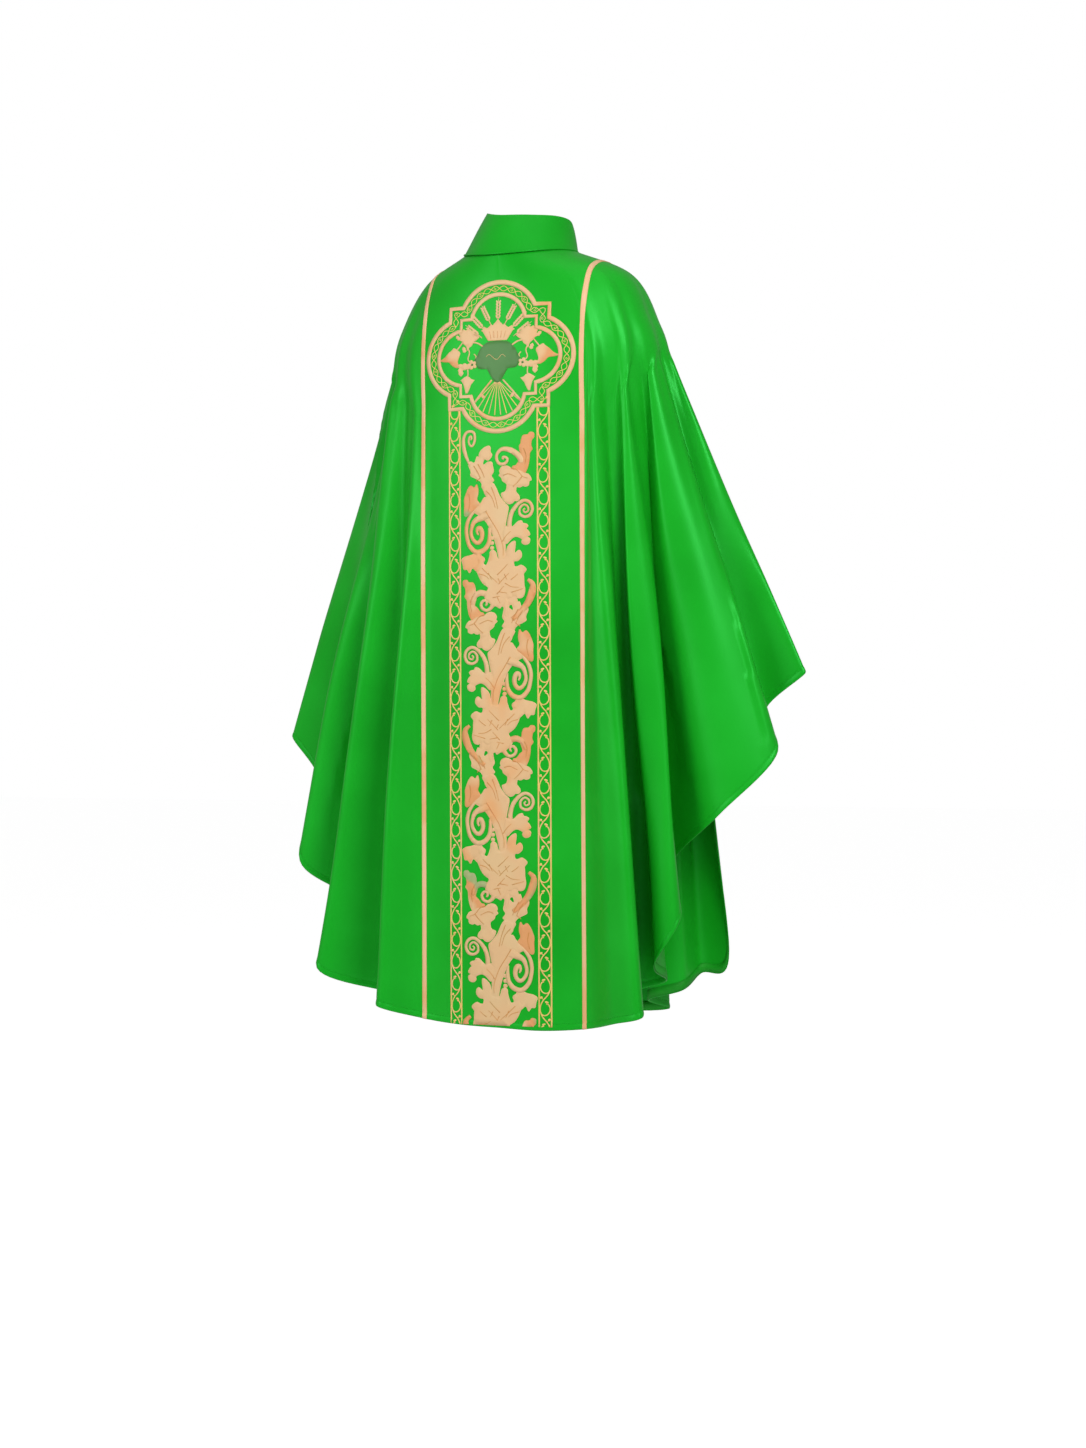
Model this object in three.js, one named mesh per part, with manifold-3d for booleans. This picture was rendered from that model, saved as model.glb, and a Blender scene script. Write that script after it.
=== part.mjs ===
// A chasuble: a bell of satin with a standing collar, applied bands and medallions, and its inside finishing.
//
// Millimetres, +Z up. The wearer faces -Y, so the back is +Y and the wearer's left is +X.
// The origin is the middle of the neck seam at the height of its back, where the garment rests on the wearer.
//
// Every layer is cut from one grid: columns run from the neck to the hem, rows run round the bell.
// Layers are offset from the grid along its normals, so that they lie on each other without touching.

import * as THREE from 'three';
import { ParametricGeometry } from 'three/addons/geometries/ParametricGeometry.js';
import { mergeGeometries, mergeVertices } from 'three/addons/utils/BufferGeometryUtils.js';
import Module from 'manifold-3d';

const wasm = await Module();
wasm.setup();

// ---------------------------------------------------------------- driving dimensions

// Overall sizes of the bell
const BACK_LENGTH = 1094; // neck seam to hem at the centre back
const FRONT_LENGTH = 1086; // the same height, at the centre front
const SIDE_REACH = 414; // from the middle to the hem over the forearm
const SIDE_DROP = 640; // height of that point below the neck
const BACK_DEPTH = 112; // how far the hem stands behind the middle
const FRONT_DEPTH = 172; // how far it hangs in front of the middle
const SIDE_FORWARD = 55; // how far forward the arms carry the hem over them

// Rings that the cloth follows from the neck over the shoulders.
// square is the ring's squareness: 2 is an ellipse, larger is more like a box.
const NECK = { side: 80, back: 82, front: 68, zBack: 0, zSide: 15, zFront: -40, square: 2 };
const SHOULDER = { side: 148, back: 94, front: 100, zBack: -44, zSide: -24, zFront: -92, square: 2.3 };
const TURN = { side: 190, back: 102, front: 122, zBack: -130, zSide: -95, zFront: -165, square: 2.6 };
const HANG_SHARE = 0.12; // share of the fall below the turn where the cloth already hangs straight

// Layers, all measured from the grid
const CLOTH = 1.2; // satin with its lining
const BAND = 1.0; // applied bands and medallions
const TAPE = 0.9; // tapes, facings and hem strips
const GAP = 0.3; // clearance between pieces that are sewn together

// Collar: it stands full height round the back and runs out into a narrow band at the front
const COLLAR_HEIGHT = 58;
const COLLAR_LEAN = 32; // how far its full height leans in
const COLLAR_LAYERS = { lining: 0.8, interlining: 0.9, outer: 1.1 };
const COLLAR_BAND = 7; // height of the band round the front of the neck
const COLLAR_FULL_TO = 62; // degrees from the centre back
const COLLAR_RUNS_OUT = 118;
const COLLAR_ROWS = 3;
const PIPING_RADIUS = 2.2;
const PIPING_SIDES = 8;

// Front neck slit, wide enough for a head to pass
const SLIT_HALF_WIDTH = 4;
const SLIT_LENGTH = 175; // below the neck seam at the centre front

// Applied bands
const FIELD_HALF_WIDTH = 59; // orphrey field
const BORDER_WIDTH = 20; // orphrey border
const GALLOON_WIDTH = 9;
const GALLOON_CLEARANCE = 1.78; // from the medallions' side lobes to each galloon

// Medallions: a square with a round lobe on each side
const MEDALLION_SQUARE = 75; // half side of the square
const MEDALLION_REACH = 109; // from the middle to the top of a lobe
const MEDALLION_STRETCH = 1.08; // how much wider it is than tall
const LOBE_RADIUS = 60;
const BACK_MEDALLION_DROP = 37; // from the neck seam down to its top lobe
const FRONT_MEDALLION_DROP = 33; // from the end of the slit down to its top lobe
const LOBE_SEGMENTS = 32;

// Inside finishing
const HEM_STRIP = 14; // height of the narrow hem
const NECK_FACING = 46; // depth of the neck facing
const SEAM_TAPE = 16; // width of the seam tapes
const LOOP_WIDTH = 60; // hanger loop across the back neck
const LOOP_BOW = 16; // how far its middle is pulled in, twice the gap it leaves
const LOOP_HEIGHT = 5;
const LOOP_THICKNESS = 1.6;
const LOOP_RISE = 4; // above the foot of the collar
const LOOP_STEPS = 12;

// Grid
const COLUMNS = 48;
const ROWS_BETWEEN = 13; // rows between the neck facing and the hem strip
const LEVEL_ROW = 8; // a row well down the fall, whose normals face straight out
const HALF_WAY = 0.5; // share of the fall for the last point of each column's curve
const WELD = 1e-4; // points nearer than this are one point

const FAR = 1500; // larger than the garment, for cutting solids

// ---------------------------------------------------------------- finishes

const satin = { color: 0x20aa2a, roughness: 0.42, metalness: 0 };
const lining = { color: 0x1a8f26, roughness: 0.55, metalness: 0 };
const embroidery = { color: 0xdeb682, roughness: 0.5, metalness: 0.05 };
const galloon = { color: 0xecba8c, roughness: 0.45, metalness: 0.05 };
const interlining = { color: 0xe8e6de, roughness: 0.9, metalness: 0 };

// ---------------------------------------------------------------- the bell's grid

// Hem knots from the middle of the back or front to the side. Each gives its place round the ring (degrees from
// the middle) and three shares: of the reach, of the depth and of the extra drop of the middle over the side.
const HEM_KNOTS = [
  { turn: 18, out: 0.17, depth: 1, drop: 1 },
  { turn: 34, out: 0.33, depth: 1, drop: 0.985 },
  { turn: 48, out: 0.5, depth: 0.93, drop: 0.9 },
  { turn: 60, out: 0.64, depth: 0.78, drop: 0.68 },
  { turn: 72, out: 0.78, depth: 0.56, drop: 0.4 },
  { turn: 81, out: 0.9, depth: 0.32, drop: 0.15 },
];

function hemKnot(length, depth, share, side) {
  const y = -SIDE_FORWARD + (depth + SIDE_FORWARD) * share.depth;
  return new THREE.Vector3(
    side * SIDE_REACH * share.out,
    y,
    -(SIDE_DROP + (length - SIDE_DROP) * share.drop),
  );
}

// The knots of the whole hem, round from the centre back by way of the wearer's left.
function hemKnots() {
  const middle = { turn: 0, out: 0, depth: 1, drop: 1 };
  const tip = { turn: 90, out: 1, depth: 0, drop: 0 };
  const quarter = [middle, ...HEM_KNOTS];
  const knots = [];
  const add = (angle, share, side, back) => {
    const length = back ? BACK_LENGTH : FRONT_LENGTH;
    const depth = back ? BACK_DEPTH : -FRONT_DEPTH;
    knots.push({ angle, point: hemKnot(length, depth, share, side) });
  };
  quarter.forEach((share) => add(share.turn, share, 1, true));
  add(tip.turn, tip, 1, true);
  [...quarter].reverse().forEach((share) => add(180 - share.turn, share, 1, false));
  HEM_KNOTS.forEach((share) => add(180 + share.turn, share, -1, false));
  add(270, tip, -1, false);
  [...HEM_KNOTS].reverse().forEach((share) => add(360 - share.turn, share, -1, true));
  return knots;
}

const knots = hemKnots();
const hemCurve = new THREE.CatmullRomCurve3(knots.map((knot) => knot.point), true, 'centripetal');

// A point round the bell: where the hem is there, and how far round the rings it belongs, in radians.
function hemAt(share) {
  const place = share * knots.length;
  const first = Math.floor(place) % knots.length;
  const next = (first + 1) % knots.length;
  const from = knots[first].angle;
  const to = next === 0 ? 360 : knots[next].angle;
  const angle = THREE.MathUtils.degToRad(from + (to - from) * (place - Math.floor(place)));
  return { point: hemCurve.getPoint(share % 1), angle };
}

const rounded = (value, square) => Math.sign(value) * Math.abs(value) ** (2 / square);

function ringPoint(ring, angle) {
  const across = Math.sin(angle);
  const along = Math.cos(angle);
  const depth = along > 0 ? ring.back : ring.front;
  const zEnd = along > 0 ? ring.zBack : ring.zFront;
  return new THREE.Vector3(
    ring.side * rounded(across, ring.square),
    depth * rounded(along, ring.square),
    zEnd + (ring.zSide - zEnd) * across * across,
  );
}

// One column of the grid: rows at the neck, the facing's edge, evenly down, the hem strip's edge and the hem.
function column(share) {
  const { point: hem, angle } = hemAt(share);
  const turn = ringPoint(TURN, angle);
  const hang = turn.clone().lerp(hem, HANG_SHARE);
  const line = new THREE.CatmullRomCurve3([
    ringPoint(NECK, angle),
    ringPoint(SHOULDER, angle),
    turn,
    hang,
    turn.clone().lerp(hem, HALF_WAY),
    hem,
  ], false, 'centripetal');
  const length = line.getLength();
  const points = [line.getPointAt(0)];
  for (let row = 0; row <= ROWS_BETWEEN; row += 1) {
    const reach = NECK_FACING + (length - NECK_FACING - HEM_STRIP) * (row / ROWS_BETWEEN);
    points.push(line.getPointAt(reach / length));
  }
  points.push(line.getPointAt(1));
  return points;
}

const grid = Array.from({ length: COLUMNS }, (_, index) => column(index / COLUMNS));
const LAST_ROW = grid[0].length - 1;

function normalAt(col, row) {
  const before = grid[(col + COLUMNS - 1) % COLUMNS];
  const after = grid[(col + 1) % COLUMNS];
  const up = grid[col][Math.max(row - 1, 0)];
  const down = grid[col][Math.min(row + 1, LAST_ROW)];
  const round = after[row].clone().sub(before[row]);
  return round.cross(down.clone().sub(up)).normalize();
}

const outward = Math.sign(normalAt(0, LEVEL_ROW).y);
const normals = grid.map((points, col) => points.map((_, row) => normalAt(col, row).multiplyScalar(outward)));

function offsetPoint(col, row, offset) {
  return grid[col][row].clone().addScaledVector(normals[col][row], offset);
}

// ---------------------------------------------------------------- solids

// three.js geometry to a manifold-3d solid
function solidOf(geometry) {
  const bare = geometry.clone();
  bare.deleteAttribute('normal');
  bare.deleteAttribute('uv');
  const merged = mergeVertices(bare, WELD);
  return new wasm.Manifold(new wasm.Mesh({
    numProp: 3,
    vertProperties: new Float32Array(merged.attributes.position.array),
    triVerts: new Uint32Array(merged.index.array),
  }));
}

// A surface of grid points, round the bell and down it. The turned one has the same triangles, facing inwards.
function surface(pointAt, rows, turned) {
  const place = (u, v, target) => target.copy(pointAt(Math.round(u * COLUMNS) % COLUMNS, Math.round(v * rows)));
  if (turned) return new ParametricGeometry((v, u, target) => place(u, v, target), rows, COLUMNS);
  return new ParametricGeometry(place, COLUMNS, rows);
}

// A closed shell between two offsets of a grid, from one row to another. Its faces use the same diagonals on
// every layer, so that neighbouring layers stay apart everywhere.
function shell(pointAt, inner, outer, firstRow, lastRow) {
  const rows = lastRow - firstRow;
  return solidOf(mergeGeometries([
    surface((col, row) => pointAt(col, firstRow + row, outer), rows, false),
    surface((col, row) => pointAt(col, firstRow + row, inner), rows, true),
    surface((col, row) => pointAt(col, firstRow, row === 0 ? inner : outer), 1, false),
    surface((col, row) => pointAt(col, lastRow, row === 0 ? outer : inner), 1, false),
  ]));
}

const layer = (inner, outer, firstRow, lastRow) => shell(offsetPoint, inner, outer, firstRow, lastRow);

// The grid's points, with one row drawn back by the gap so that a strip ends clear of its neighbour.
function drawnBack(endRow, towardsRow) {
  return (col, row, offset) => {
    const point = offsetPoint(col, row, offset);
    if (row !== endRow) return point;
    const next = offsetPoint(col, towardsRow, offset);
    return point.addScaledVector(next.sub(point).normalize(), GAP);
  };
}

// A prism standing on a plan outline [x, y], through the whole height.
function planPrism(outline) {
  const shape = new THREE.Shape(outline.map(([x, y]) => new THREE.Vector2(x, y)));
  const geometry = new THREE.ExtrudeGeometry(shape, { depth: 2 * FAR, bevelEnabled: false });
  geometry.translate(0, 0, -FAR);
  return solidOf(geometry);
}

// A prism with an outline [x, z] seen from the front or back, running between two depths.
function frontPrism(outline, fromY, toY) {
  const shape = new THREE.Shape(outline.map(([x, z]) => new THREE.Vector2(x, z)));
  const geometry = new THREE.ExtrudeGeometry(shape, { depth: toY - fromY, bevelEnabled: false });
  geometry.rotateX(Math.PI / 2);
  geometry.translate(0, toY, 0);
  return solidOf(geometry);
}

const onBack = (outline) => frontPrism(outline, 0, FAR);
const onFront = (outline) => frontPrism(outline, -FAR, 0);

function upright(left, right, bottom, top) {
  return [[left, bottom], [right, bottom], [right, top], [left, top]];
}

// ---------------------------------------------------------------- cuts

// The shoulder seams lie in two upright planes that run from the neck to the hem over the forearms.
const SEAM_SLOPE = SIDE_FORWARD / SIDE_REACH;
const HALF_GAP = GAP / 2;

function seamLine(side, shift) {
  return [
    [0, shift],
    [side * FAR, -SEAM_SLOPE * FAR + shift],
  ];
}

// The part of the plan that one panel covers.
function quarterPrism(side, back) {
  const towards = back ? 1 : -1;
  const seam = seamLine(side, towards * HALF_GAP * Math.hypot(1, SEAM_SLOPE));
  const start = side * HALF_GAP;
  const outline = [
    [start, seam[0][1] - SEAM_SLOPE * HALF_GAP],
    seam[1],
    [side * FAR, towards * FAR],
    [start, towards * FAR],
  ];
  return planPrism(outline);
}

// A slab along the shoulder seam on one side.
function seamSlab(side, width) {
  const half = (width / 2) * Math.hypot(1, SEAM_SLOPE);
  const near = seamLine(side, half);
  const far = seamLine(side, -half);
  return planPrism([near[0], near[1], far[1], far[0]]);
}

const slitEnd = NECK.zFront - SLIT_LENGTH;
const slit = onFront(upright(-SLIT_HALF_WIDTH, SLIT_HALF_WIDTH, slitEnd, FAR));

// A medallion's outline, made larger all round by the margin.
function medallionPrism(z, back, margin) {
  const square = MEDALLION_SQUARE + margin;
  const radius = LOBE_RADIUS + margin;
  const away = MEDALLION_REACH - LOBE_RADIUS;
  const fromY = back ? 0 : -FAR;
  let prism = frontPrism(upright(-square, square, z - square, z + square), fromY, fromY + FAR);
  for (const [x, up] of [[away, 0], [0, away], [-away, 0], [0, -away]]) {
    const lobe = new THREE.CylinderGeometry(radius, radius, FAR, LOBE_SEGMENTS);
    lobe.translate(x, fromY + FAR / 2, z + up);
    prism = prism.add(solidOf(lobe));
  }
  return prism.scale([MEDALLION_STRETCH, 1, 1]);
}

// ---------------------------------------------------------------- assembly

const chasuble = new THREE.Group();

function addPiece(name, solid, finish) {
  const mesh = solid.getMesh();
  const geometry = new THREE.BufferGeometry();
  geometry.setAttribute('position', new THREE.BufferAttribute(new Float32Array(mesh.vertProperties), 3));
  geometry.setIndex(new THREE.BufferAttribute(new Uint32Array(mesh.triVerts), 1));
  geometry.computeVertexNormals();
  const piece = new THREE.Mesh(geometry, new THREE.MeshStandardMaterial(finish));
  piece.name = name;
  chasuble.add(piece);
}

const SIDES = [
  { label: 'left', sign: 1 },
  { label: 'right', sign: -1 },
];
const HALVES = [
  { label: 'back', back: true },
  { label: 'front', back: false },
];

// Panels, with the neck slit open down the front, and the hem strips behind their edges
const clothLayer = layer(0, CLOTH, 0, LAST_ROW).subtract(slit);
const hemLayer = shell(drawnBack(LAST_ROW - 1, LAST_ROW), -GAP - TAPE, -GAP, LAST_ROW - 1, LAST_ROW);
for (const half of HALVES) {
  for (const side of SIDES) {
    const quarter = quarterPrism(side.sign, half.back);
    addPiece(`${half.label}_panel_${side.label}`, clothLayer.intersect(quarter), satin);
    addPiece(`${half.label}_hem_strip_${side.label}`, hemLayer.intersect(quarter), lining);
  }
}

// Neck facings, one for each side, that meet at the centre back and leave the slit open
const facingLayer = shell(drawnBack(1, 0), -GAP - TAPE, -GAP, 0, 1).subtract(slit);
for (const side of SIDES) {
  const outline = [[side.sign * HALF_GAP, -FAR], [side.sign * FAR, -FAR], [side.sign * FAR, FAR],
    [side.sign * HALF_GAP, FAR]];
  addPiece(`neck_facing_${side.label}`, facingLayer.intersect(planPrism(outline)), lining);
}

// Seam tapes between the facings and the hem strips
const tapeLayer = layer(-GAP - TAPE, -GAP, 1, LAST_ROW - 1);
for (const side of SIDES) {
  addPiece(`shoulder_seam_tape_${side.label}`, tapeLayer.intersect(seamSlab(side.sign, SEAM_TAPE)), lining);
}
const tapeEdge = SEAM_TAPE / 2;
const tapeOutline = upright(-tapeEdge, tapeEdge, -FAR, FAR);
addPiece('centre_back_seam_tape', tapeLayer.intersect(onBack(tapeOutline)), lining);
const frontTapeOutline = upright(-tapeEdge, tapeEdge, -FAR, slitEnd - GAP);
addPiece('centre_front_seam_tape', tapeLayer.intersect(onFront(frontTapeOutline)), lining);

// Applied bands lie on the panels. The medallions interrupt the orphreys.
const bandLayer = layer(CLOTH + GAP, CLOTH + GAP + BAND, 0, LAST_ROW);
const borderInner = FIELD_HALF_WIDTH + GAP;
const borderOuter = borderInner + BORDER_WIDTH;
for (const half of HALVES) {
  const top = half.back ? -BACK_MEDALLION_DROP : slitEnd - FRONT_MEDALLION_DROP;
  const z = top - MEDALLION_REACH;
  const cut = half.back ? onBack : onFront;
  const clearOfMedallion = medallionPrism(z, half.back, GAP);
  const strip = (left, right) => bandLayer
    .intersect(cut(upright(left, right, -FAR, z - MEDALLION_SQUARE)))
    .subtract(clearOfMedallion);
  addPiece(`${half.label}_medallion`, bandLayer.intersect(medallionPrism(z, half.back, 0)), embroidery);
  addPiece(`${half.label}_orphrey_field`, strip(-FIELD_HALF_WIDTH, FIELD_HALF_WIDTH), embroidery);
  addPiece(`${half.label}_orphrey_border_left`, strip(borderInner, borderOuter), embroidery);
  addPiece(`${half.label}_orphrey_border_right`, strip(-borderOuter, -borderInner), embroidery);
}

const galloonOffset = MEDALLION_REACH * MEDALLION_STRETCH + GALLOON_CLEARANCE + GALLOON_WIDTH / 2;
for (const side of SIDES) {
  const middle = side.sign * galloonOffset;
  const outline = upright(middle - GALLOON_WIDTH / 2, middle + GALLOON_WIDTH / 2, -FAR, FAR);
  addPiece(`galloon_${side.label}`, bandLayer.intersect(frontPrism(outline, -FAR, FAR)), galloon);
}

// Collar: three layers that lean in from the neck seam, parted at the front by the slit.
const collarFoot = CLOTH + GAP; // it stands on the cloth at the neck edge

function collarPoint(col, row, offset) {
  const angle = (col / COLUMNS) * 2 * Math.PI;
  const share = 1 - row / COLLAR_ROWS;
  const foot = ringPoint(NECK, angle);
  const away = new THREE.Vector3(foot.x, foot.y, 0).normalize();
  const rise = collarHeight(angle) * share;
  return foot.clone()
    .addScaledVector(away, offset - COLLAR_LEAN * (rise / COLLAR_HEIGHT))
    .setZ(foot.z + collarFoot + rise);
}

// The collar's height round the neck, falling smoothly from its full height to the narrow band
function collarHeight(angle) {
  const fromBack = THREE.MathUtils.radToDeg(Math.acos(Math.cos(angle)));
  const fall = THREE.MathUtils.smoothstep(fromBack, COLLAR_FULL_TO, COLLAR_RUNS_OUT);
  return COLLAR_HEIGHT + (COLLAR_BAND - COLLAR_HEIGHT) * fall;
}

let depth = 0;
for (const [label, thickness] of Object.entries(COLLAR_LAYERS)) {
  const solid = shell(collarPoint, depth, depth + thickness, 0, COLLAR_ROWS);
  const finish = { lining, interlining, outer: satin }[label];
  addPiece(`collar_${label}`, solid.subtract(slit), finish);
  depth += thickness + GAP;
}

// Piping in the neck seam, against the foot of the outer layer
const pipingOut = depth + PIPING_RADIUS;
const piping = new ParametricGeometry((u, v, target) => {
  const turn = -2 * Math.PI * v;
  const foot = ringPoint(NECK, 2 * Math.PI * (u % 1));
  const away = new THREE.Vector3(foot.x, foot.y, 0).normalize();
  target.copy(foot)
    .addScaledVector(away, pipingOut + Math.cos(turn) * PIPING_RADIUS)
    .setZ(foot.z + collarFoot + PIPING_RADIUS + Math.sin(turn) * PIPING_RADIUS);
}, COLUMNS, PIPING_SIDES);
addPiece('collar_piping', solidOf(piping).subtract(slit), satin);

// Hanger loop: a flat tape bowed across the inside of the collar at the centre back
const loopGap = GAP + LOOP_THICKNESS / 2;
const loopFoot = collarFoot + LOOP_RISE;
const loopCurve = new THREE.QuadraticBezierCurve3(
  new THREE.Vector3(-LOOP_WIDTH / 2, loopDepth(-LOOP_WIDTH / 2), loopFoot),
  new THREE.Vector3(0, loopDepth(0) - LOOP_BOW, loopFoot),
  new THREE.Vector3(LOOP_WIDTH / 2, loopDepth(LOOP_WIDTH / 2), loopFoot),
);

function loopDepth(x) {
  const across = Math.asin(Math.min(1, Math.abs(x) / NECK.side));
  const lean = COLLAR_LEAN * ((loopFoot + LOOP_HEIGHT) / COLLAR_HEIGHT);
  return NECK.back * Math.cos(across) - lean - loopGap;
}

const loopShape = new THREE.Shape();
loopShape.moveTo(-LOOP_HEIGHT / 2, -LOOP_THICKNESS / 2);
loopShape.lineTo(LOOP_HEIGHT / 2, -LOOP_THICKNESS / 2);
loopShape.lineTo(LOOP_HEIGHT / 2, LOOP_THICKNESS / 2);
loopShape.lineTo(-LOOP_HEIGHT / 2, LOOP_THICKNESS / 2);
const loopGeometry = new THREE.ExtrudeGeometry(loopShape, { steps: LOOP_STEPS, extrudePath: loopCurve });
addPiece('hanger_loop', solidOf(loopGeometry), lining);

export default chasuble;
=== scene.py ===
"""A green satin chasuble as it falls from the shoulders, with its needlework, bands, collar and linings."""

import logging
import math
from collections.abc import Callable
from dataclasses import dataclass, field
from enum import Enum

import bmesh
import bpy
import numpy as np
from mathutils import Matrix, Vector
from mathutils.bvhtree import BVHTree


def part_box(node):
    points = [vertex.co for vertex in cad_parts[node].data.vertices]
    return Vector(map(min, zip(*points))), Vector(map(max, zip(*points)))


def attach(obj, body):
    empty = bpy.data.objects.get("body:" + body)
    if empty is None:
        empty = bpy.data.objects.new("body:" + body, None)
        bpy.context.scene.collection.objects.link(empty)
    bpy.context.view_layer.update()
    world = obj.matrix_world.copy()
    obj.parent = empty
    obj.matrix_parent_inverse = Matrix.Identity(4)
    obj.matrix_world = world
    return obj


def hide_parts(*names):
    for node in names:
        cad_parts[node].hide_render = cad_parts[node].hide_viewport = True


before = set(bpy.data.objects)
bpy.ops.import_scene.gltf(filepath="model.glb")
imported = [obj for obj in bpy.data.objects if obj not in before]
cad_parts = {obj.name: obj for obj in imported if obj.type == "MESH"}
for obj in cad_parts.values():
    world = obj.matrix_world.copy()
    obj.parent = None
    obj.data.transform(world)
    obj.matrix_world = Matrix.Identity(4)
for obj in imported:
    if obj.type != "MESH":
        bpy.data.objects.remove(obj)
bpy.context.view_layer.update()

MM = 0.001
BODY = "root"
log = logging.getLogger("chasuble")


# ------------------------------------------------------------------------------------------------ finishes


class NodeBench:
    """A material's node tree, with short ways to add and join nodes."""

    def __init__(self, name: str) -> None:
        """Start an empty node material.

        Args:
            name: the material's name.
        """
        self.material = bpy.data.materials.new(name)
        self.material.use_nodes = True
        self.tree = self.material.node_tree
        self.shader = self.tree.nodes["Principled BSDF"]

    def add(self, kind: str, **values: object) -> bpy.types.Node:
        """Add a node and set its properties or inputs.

        Args:
            kind: the node's type without the "ShaderNode" in front.
            **values: properties of the node, or inputs by name with spaces as underscores.

        Returns:
            The new node.
        """
        node = self.tree.nodes.new(f"ShaderNode{kind}")
        for key, value in values.items():
            if hasattr(node, key):
                setattr(node, key, value)
            else:
                node.inputs[key.replace("_", " ")].default_value = value
        return node

    def join(self, source: bpy.types.NodeSocket, target: bpy.types.NodeSocket) -> None:
        """Link one socket to another."""
        self.tree.links.new(source, target)

    def ramp(self, source: bpy.types.NodeSocket, stops: list[tuple[float, tuple]]) -> bpy.types.NodeSocket:
        """Turn a value into a colour through a colour ramp.

        Args:
            source: the value's socket.
            stops: positions from 0 to 1, each with its RGB colour.

        Returns:
            The ramp's colour socket.
        """
        node = self.add("ValToRGB")
        elements = node.color_ramp.elements
        while len(elements) < len(stops):
            elements.new(1.0)
        for element, (place, colour) in zip(elements, stops):
            element.position = place
            element.color = (*colour, 1.0)
        self.join(source, node.inputs["Fac"])
        return node.outputs["Color"]

    def bump(self, height: bpy.types.NodeSocket, distance: float, strength: float,
             after: object = None) -> object:
        """Add a bump node.

        Args:
            height: the socket that gives the height.
            distance: the height in metres that a value of 1 stands for.
            strength: from 0 to 1.
            after: an earlier bump's normal socket, if there is one.

        Returns:
            The bump's normal socket.
        """
        node = self.add("Bump", Strength=strength, Distance=distance)
        self.join(height, node.inputs["Height"])
        if after is not None:
            self.join(after, node.inputs["Normal"])
        return node.outputs["Normal"]

    def surface(self, **values: object) -> None:
        """Set inputs of the shader by name, with spaces as underscores."""
        for key, value in values.items():
            self.shader.inputs[key.replace("_", " ")].default_value = value


@dataclass(frozen=True)
class SatinFinish:
    """Smooth satin: long floats that catch the light, with faint slubs and a fine twill."""

    name: str = "green_satin"
    colour: tuple = (0.0075, 0.372, 0.0135)
    light: tuple = (0.011, 0.42, 0.02)
    deep: tuple = (0.006, 0.325, 0.011)
    roughness: float = 0.37
    thread_pitch: float = 0.35 * MM
    crease: float = 0.5 * MM

    def build(self) -> bpy.types.Material:
        """Build the material.

        Returns:
            The finished material.
        """
        bench = NodeBench(self.name)
        place = bench.add("TexCoord")
        drift = bench.add("TexNoise", Scale=5.0, Detail=3.0, Roughness=0.5)
        bench.join(place.outputs["Object"], drift.inputs["Vector"])
        tone = bench.ramp(drift.outputs["Fac"], [(0.3, self.deep), (0.5, self.colour), (0.72, self.light)])
        bench.join(tone, bench.shader.inputs["Base Color"])
        weave = bench.add("UVMap", uv_map="cloth")
        lines = bench.add("TexWave", wave_type="BANDS", bands_direction="DIAGONAL", Distortion=0.6)
        lines.inputs["Scale"].default_value = 1.0 / (2 * math.pi * self.thread_pitch)
        lines.inputs["Detail"].default_value = 1.0
        bench.join(weave.outputs["UV"], lines.inputs["Vector"])
        slub = bench.add("TexNoise", Scale=38.0, Detail=4.0, Roughness=0.55)
        bench.join(place.outputs["Object"], slub.inputs["Vector"])
        normal = bench.bump(slub.outputs["Fac"], self.crease, 0.35)
        normal = bench.bump(lines.outputs["Fac"], 0.04 * MM, 0.25, normal)
        bench.join(normal, bench.shader.inputs["Normal"])
        bench.surface(Roughness=self.roughness, Specular_IOR_Level=0.9, Specular_Tint=(0.14, 1.0, 0.26, 1.0))
        bench.surface(IOR=1.4)
        return bench.material


@dataclass(frozen=True)
class ThreadFinish:
    """Satin-stitch thread: fine parallel stitches that shade softly into a second and a third colour."""

    name: str
    colour: tuple
    second: tuple
    third: tuple
    patch_size: float = 60 * MM
    roughness: float = 0.42
    pitch: float = 0.45 * MM

    def build(self) -> bpy.types.Material:
        """Build the material.

        Returns:
            The finished material.
        """
        bench = NodeBench(self.name)
        place = bench.add("TexCoord")
        cloud = bench.add("TexNoise", Scale=1.0 / self.patch_size, Detail=1.5, Roughness=0.45)
        bench.join(place.outputs["Object"], cloud.inputs["Vector"])
        tone = bench.ramp(cloud.outputs["Fac"], [(0.34, self.third), (0.43, self.colour), (0.55, self.colour),
                                                 (0.66, self.second)])
        lines = bench.add("TexWave", wave_type="BANDS", bands_direction="DIAGONAL", Distortion=1.2)
        lines.inputs["Scale"].default_value = 1.0 / (2 * math.pi * self.pitch)
        bench.join(place.outputs["Object"], lines.inputs["Vector"])
        shade = bench.add("MixRGB", blend_type="MULTIPLY", Fac=0.1)
        bench.join(tone, shade.inputs["Color1"])
        bench.join(lines.outputs["Color"], shade.inputs["Color2"])
        bench.join(shade.outputs["Color"], bench.shader.inputs["Base Color"])
        bench.join(bench.bump(lines.outputs["Fac"], 0.12 * MM, 0.45), bench.shader.inputs["Normal"])
        bench.surface(Roughness=self.roughness, Specular_IOR_Level=0.4)
        bench.surface(Sheen_Weight=0.15, Sheen_Roughness=0.4)
        return bench.material


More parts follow.
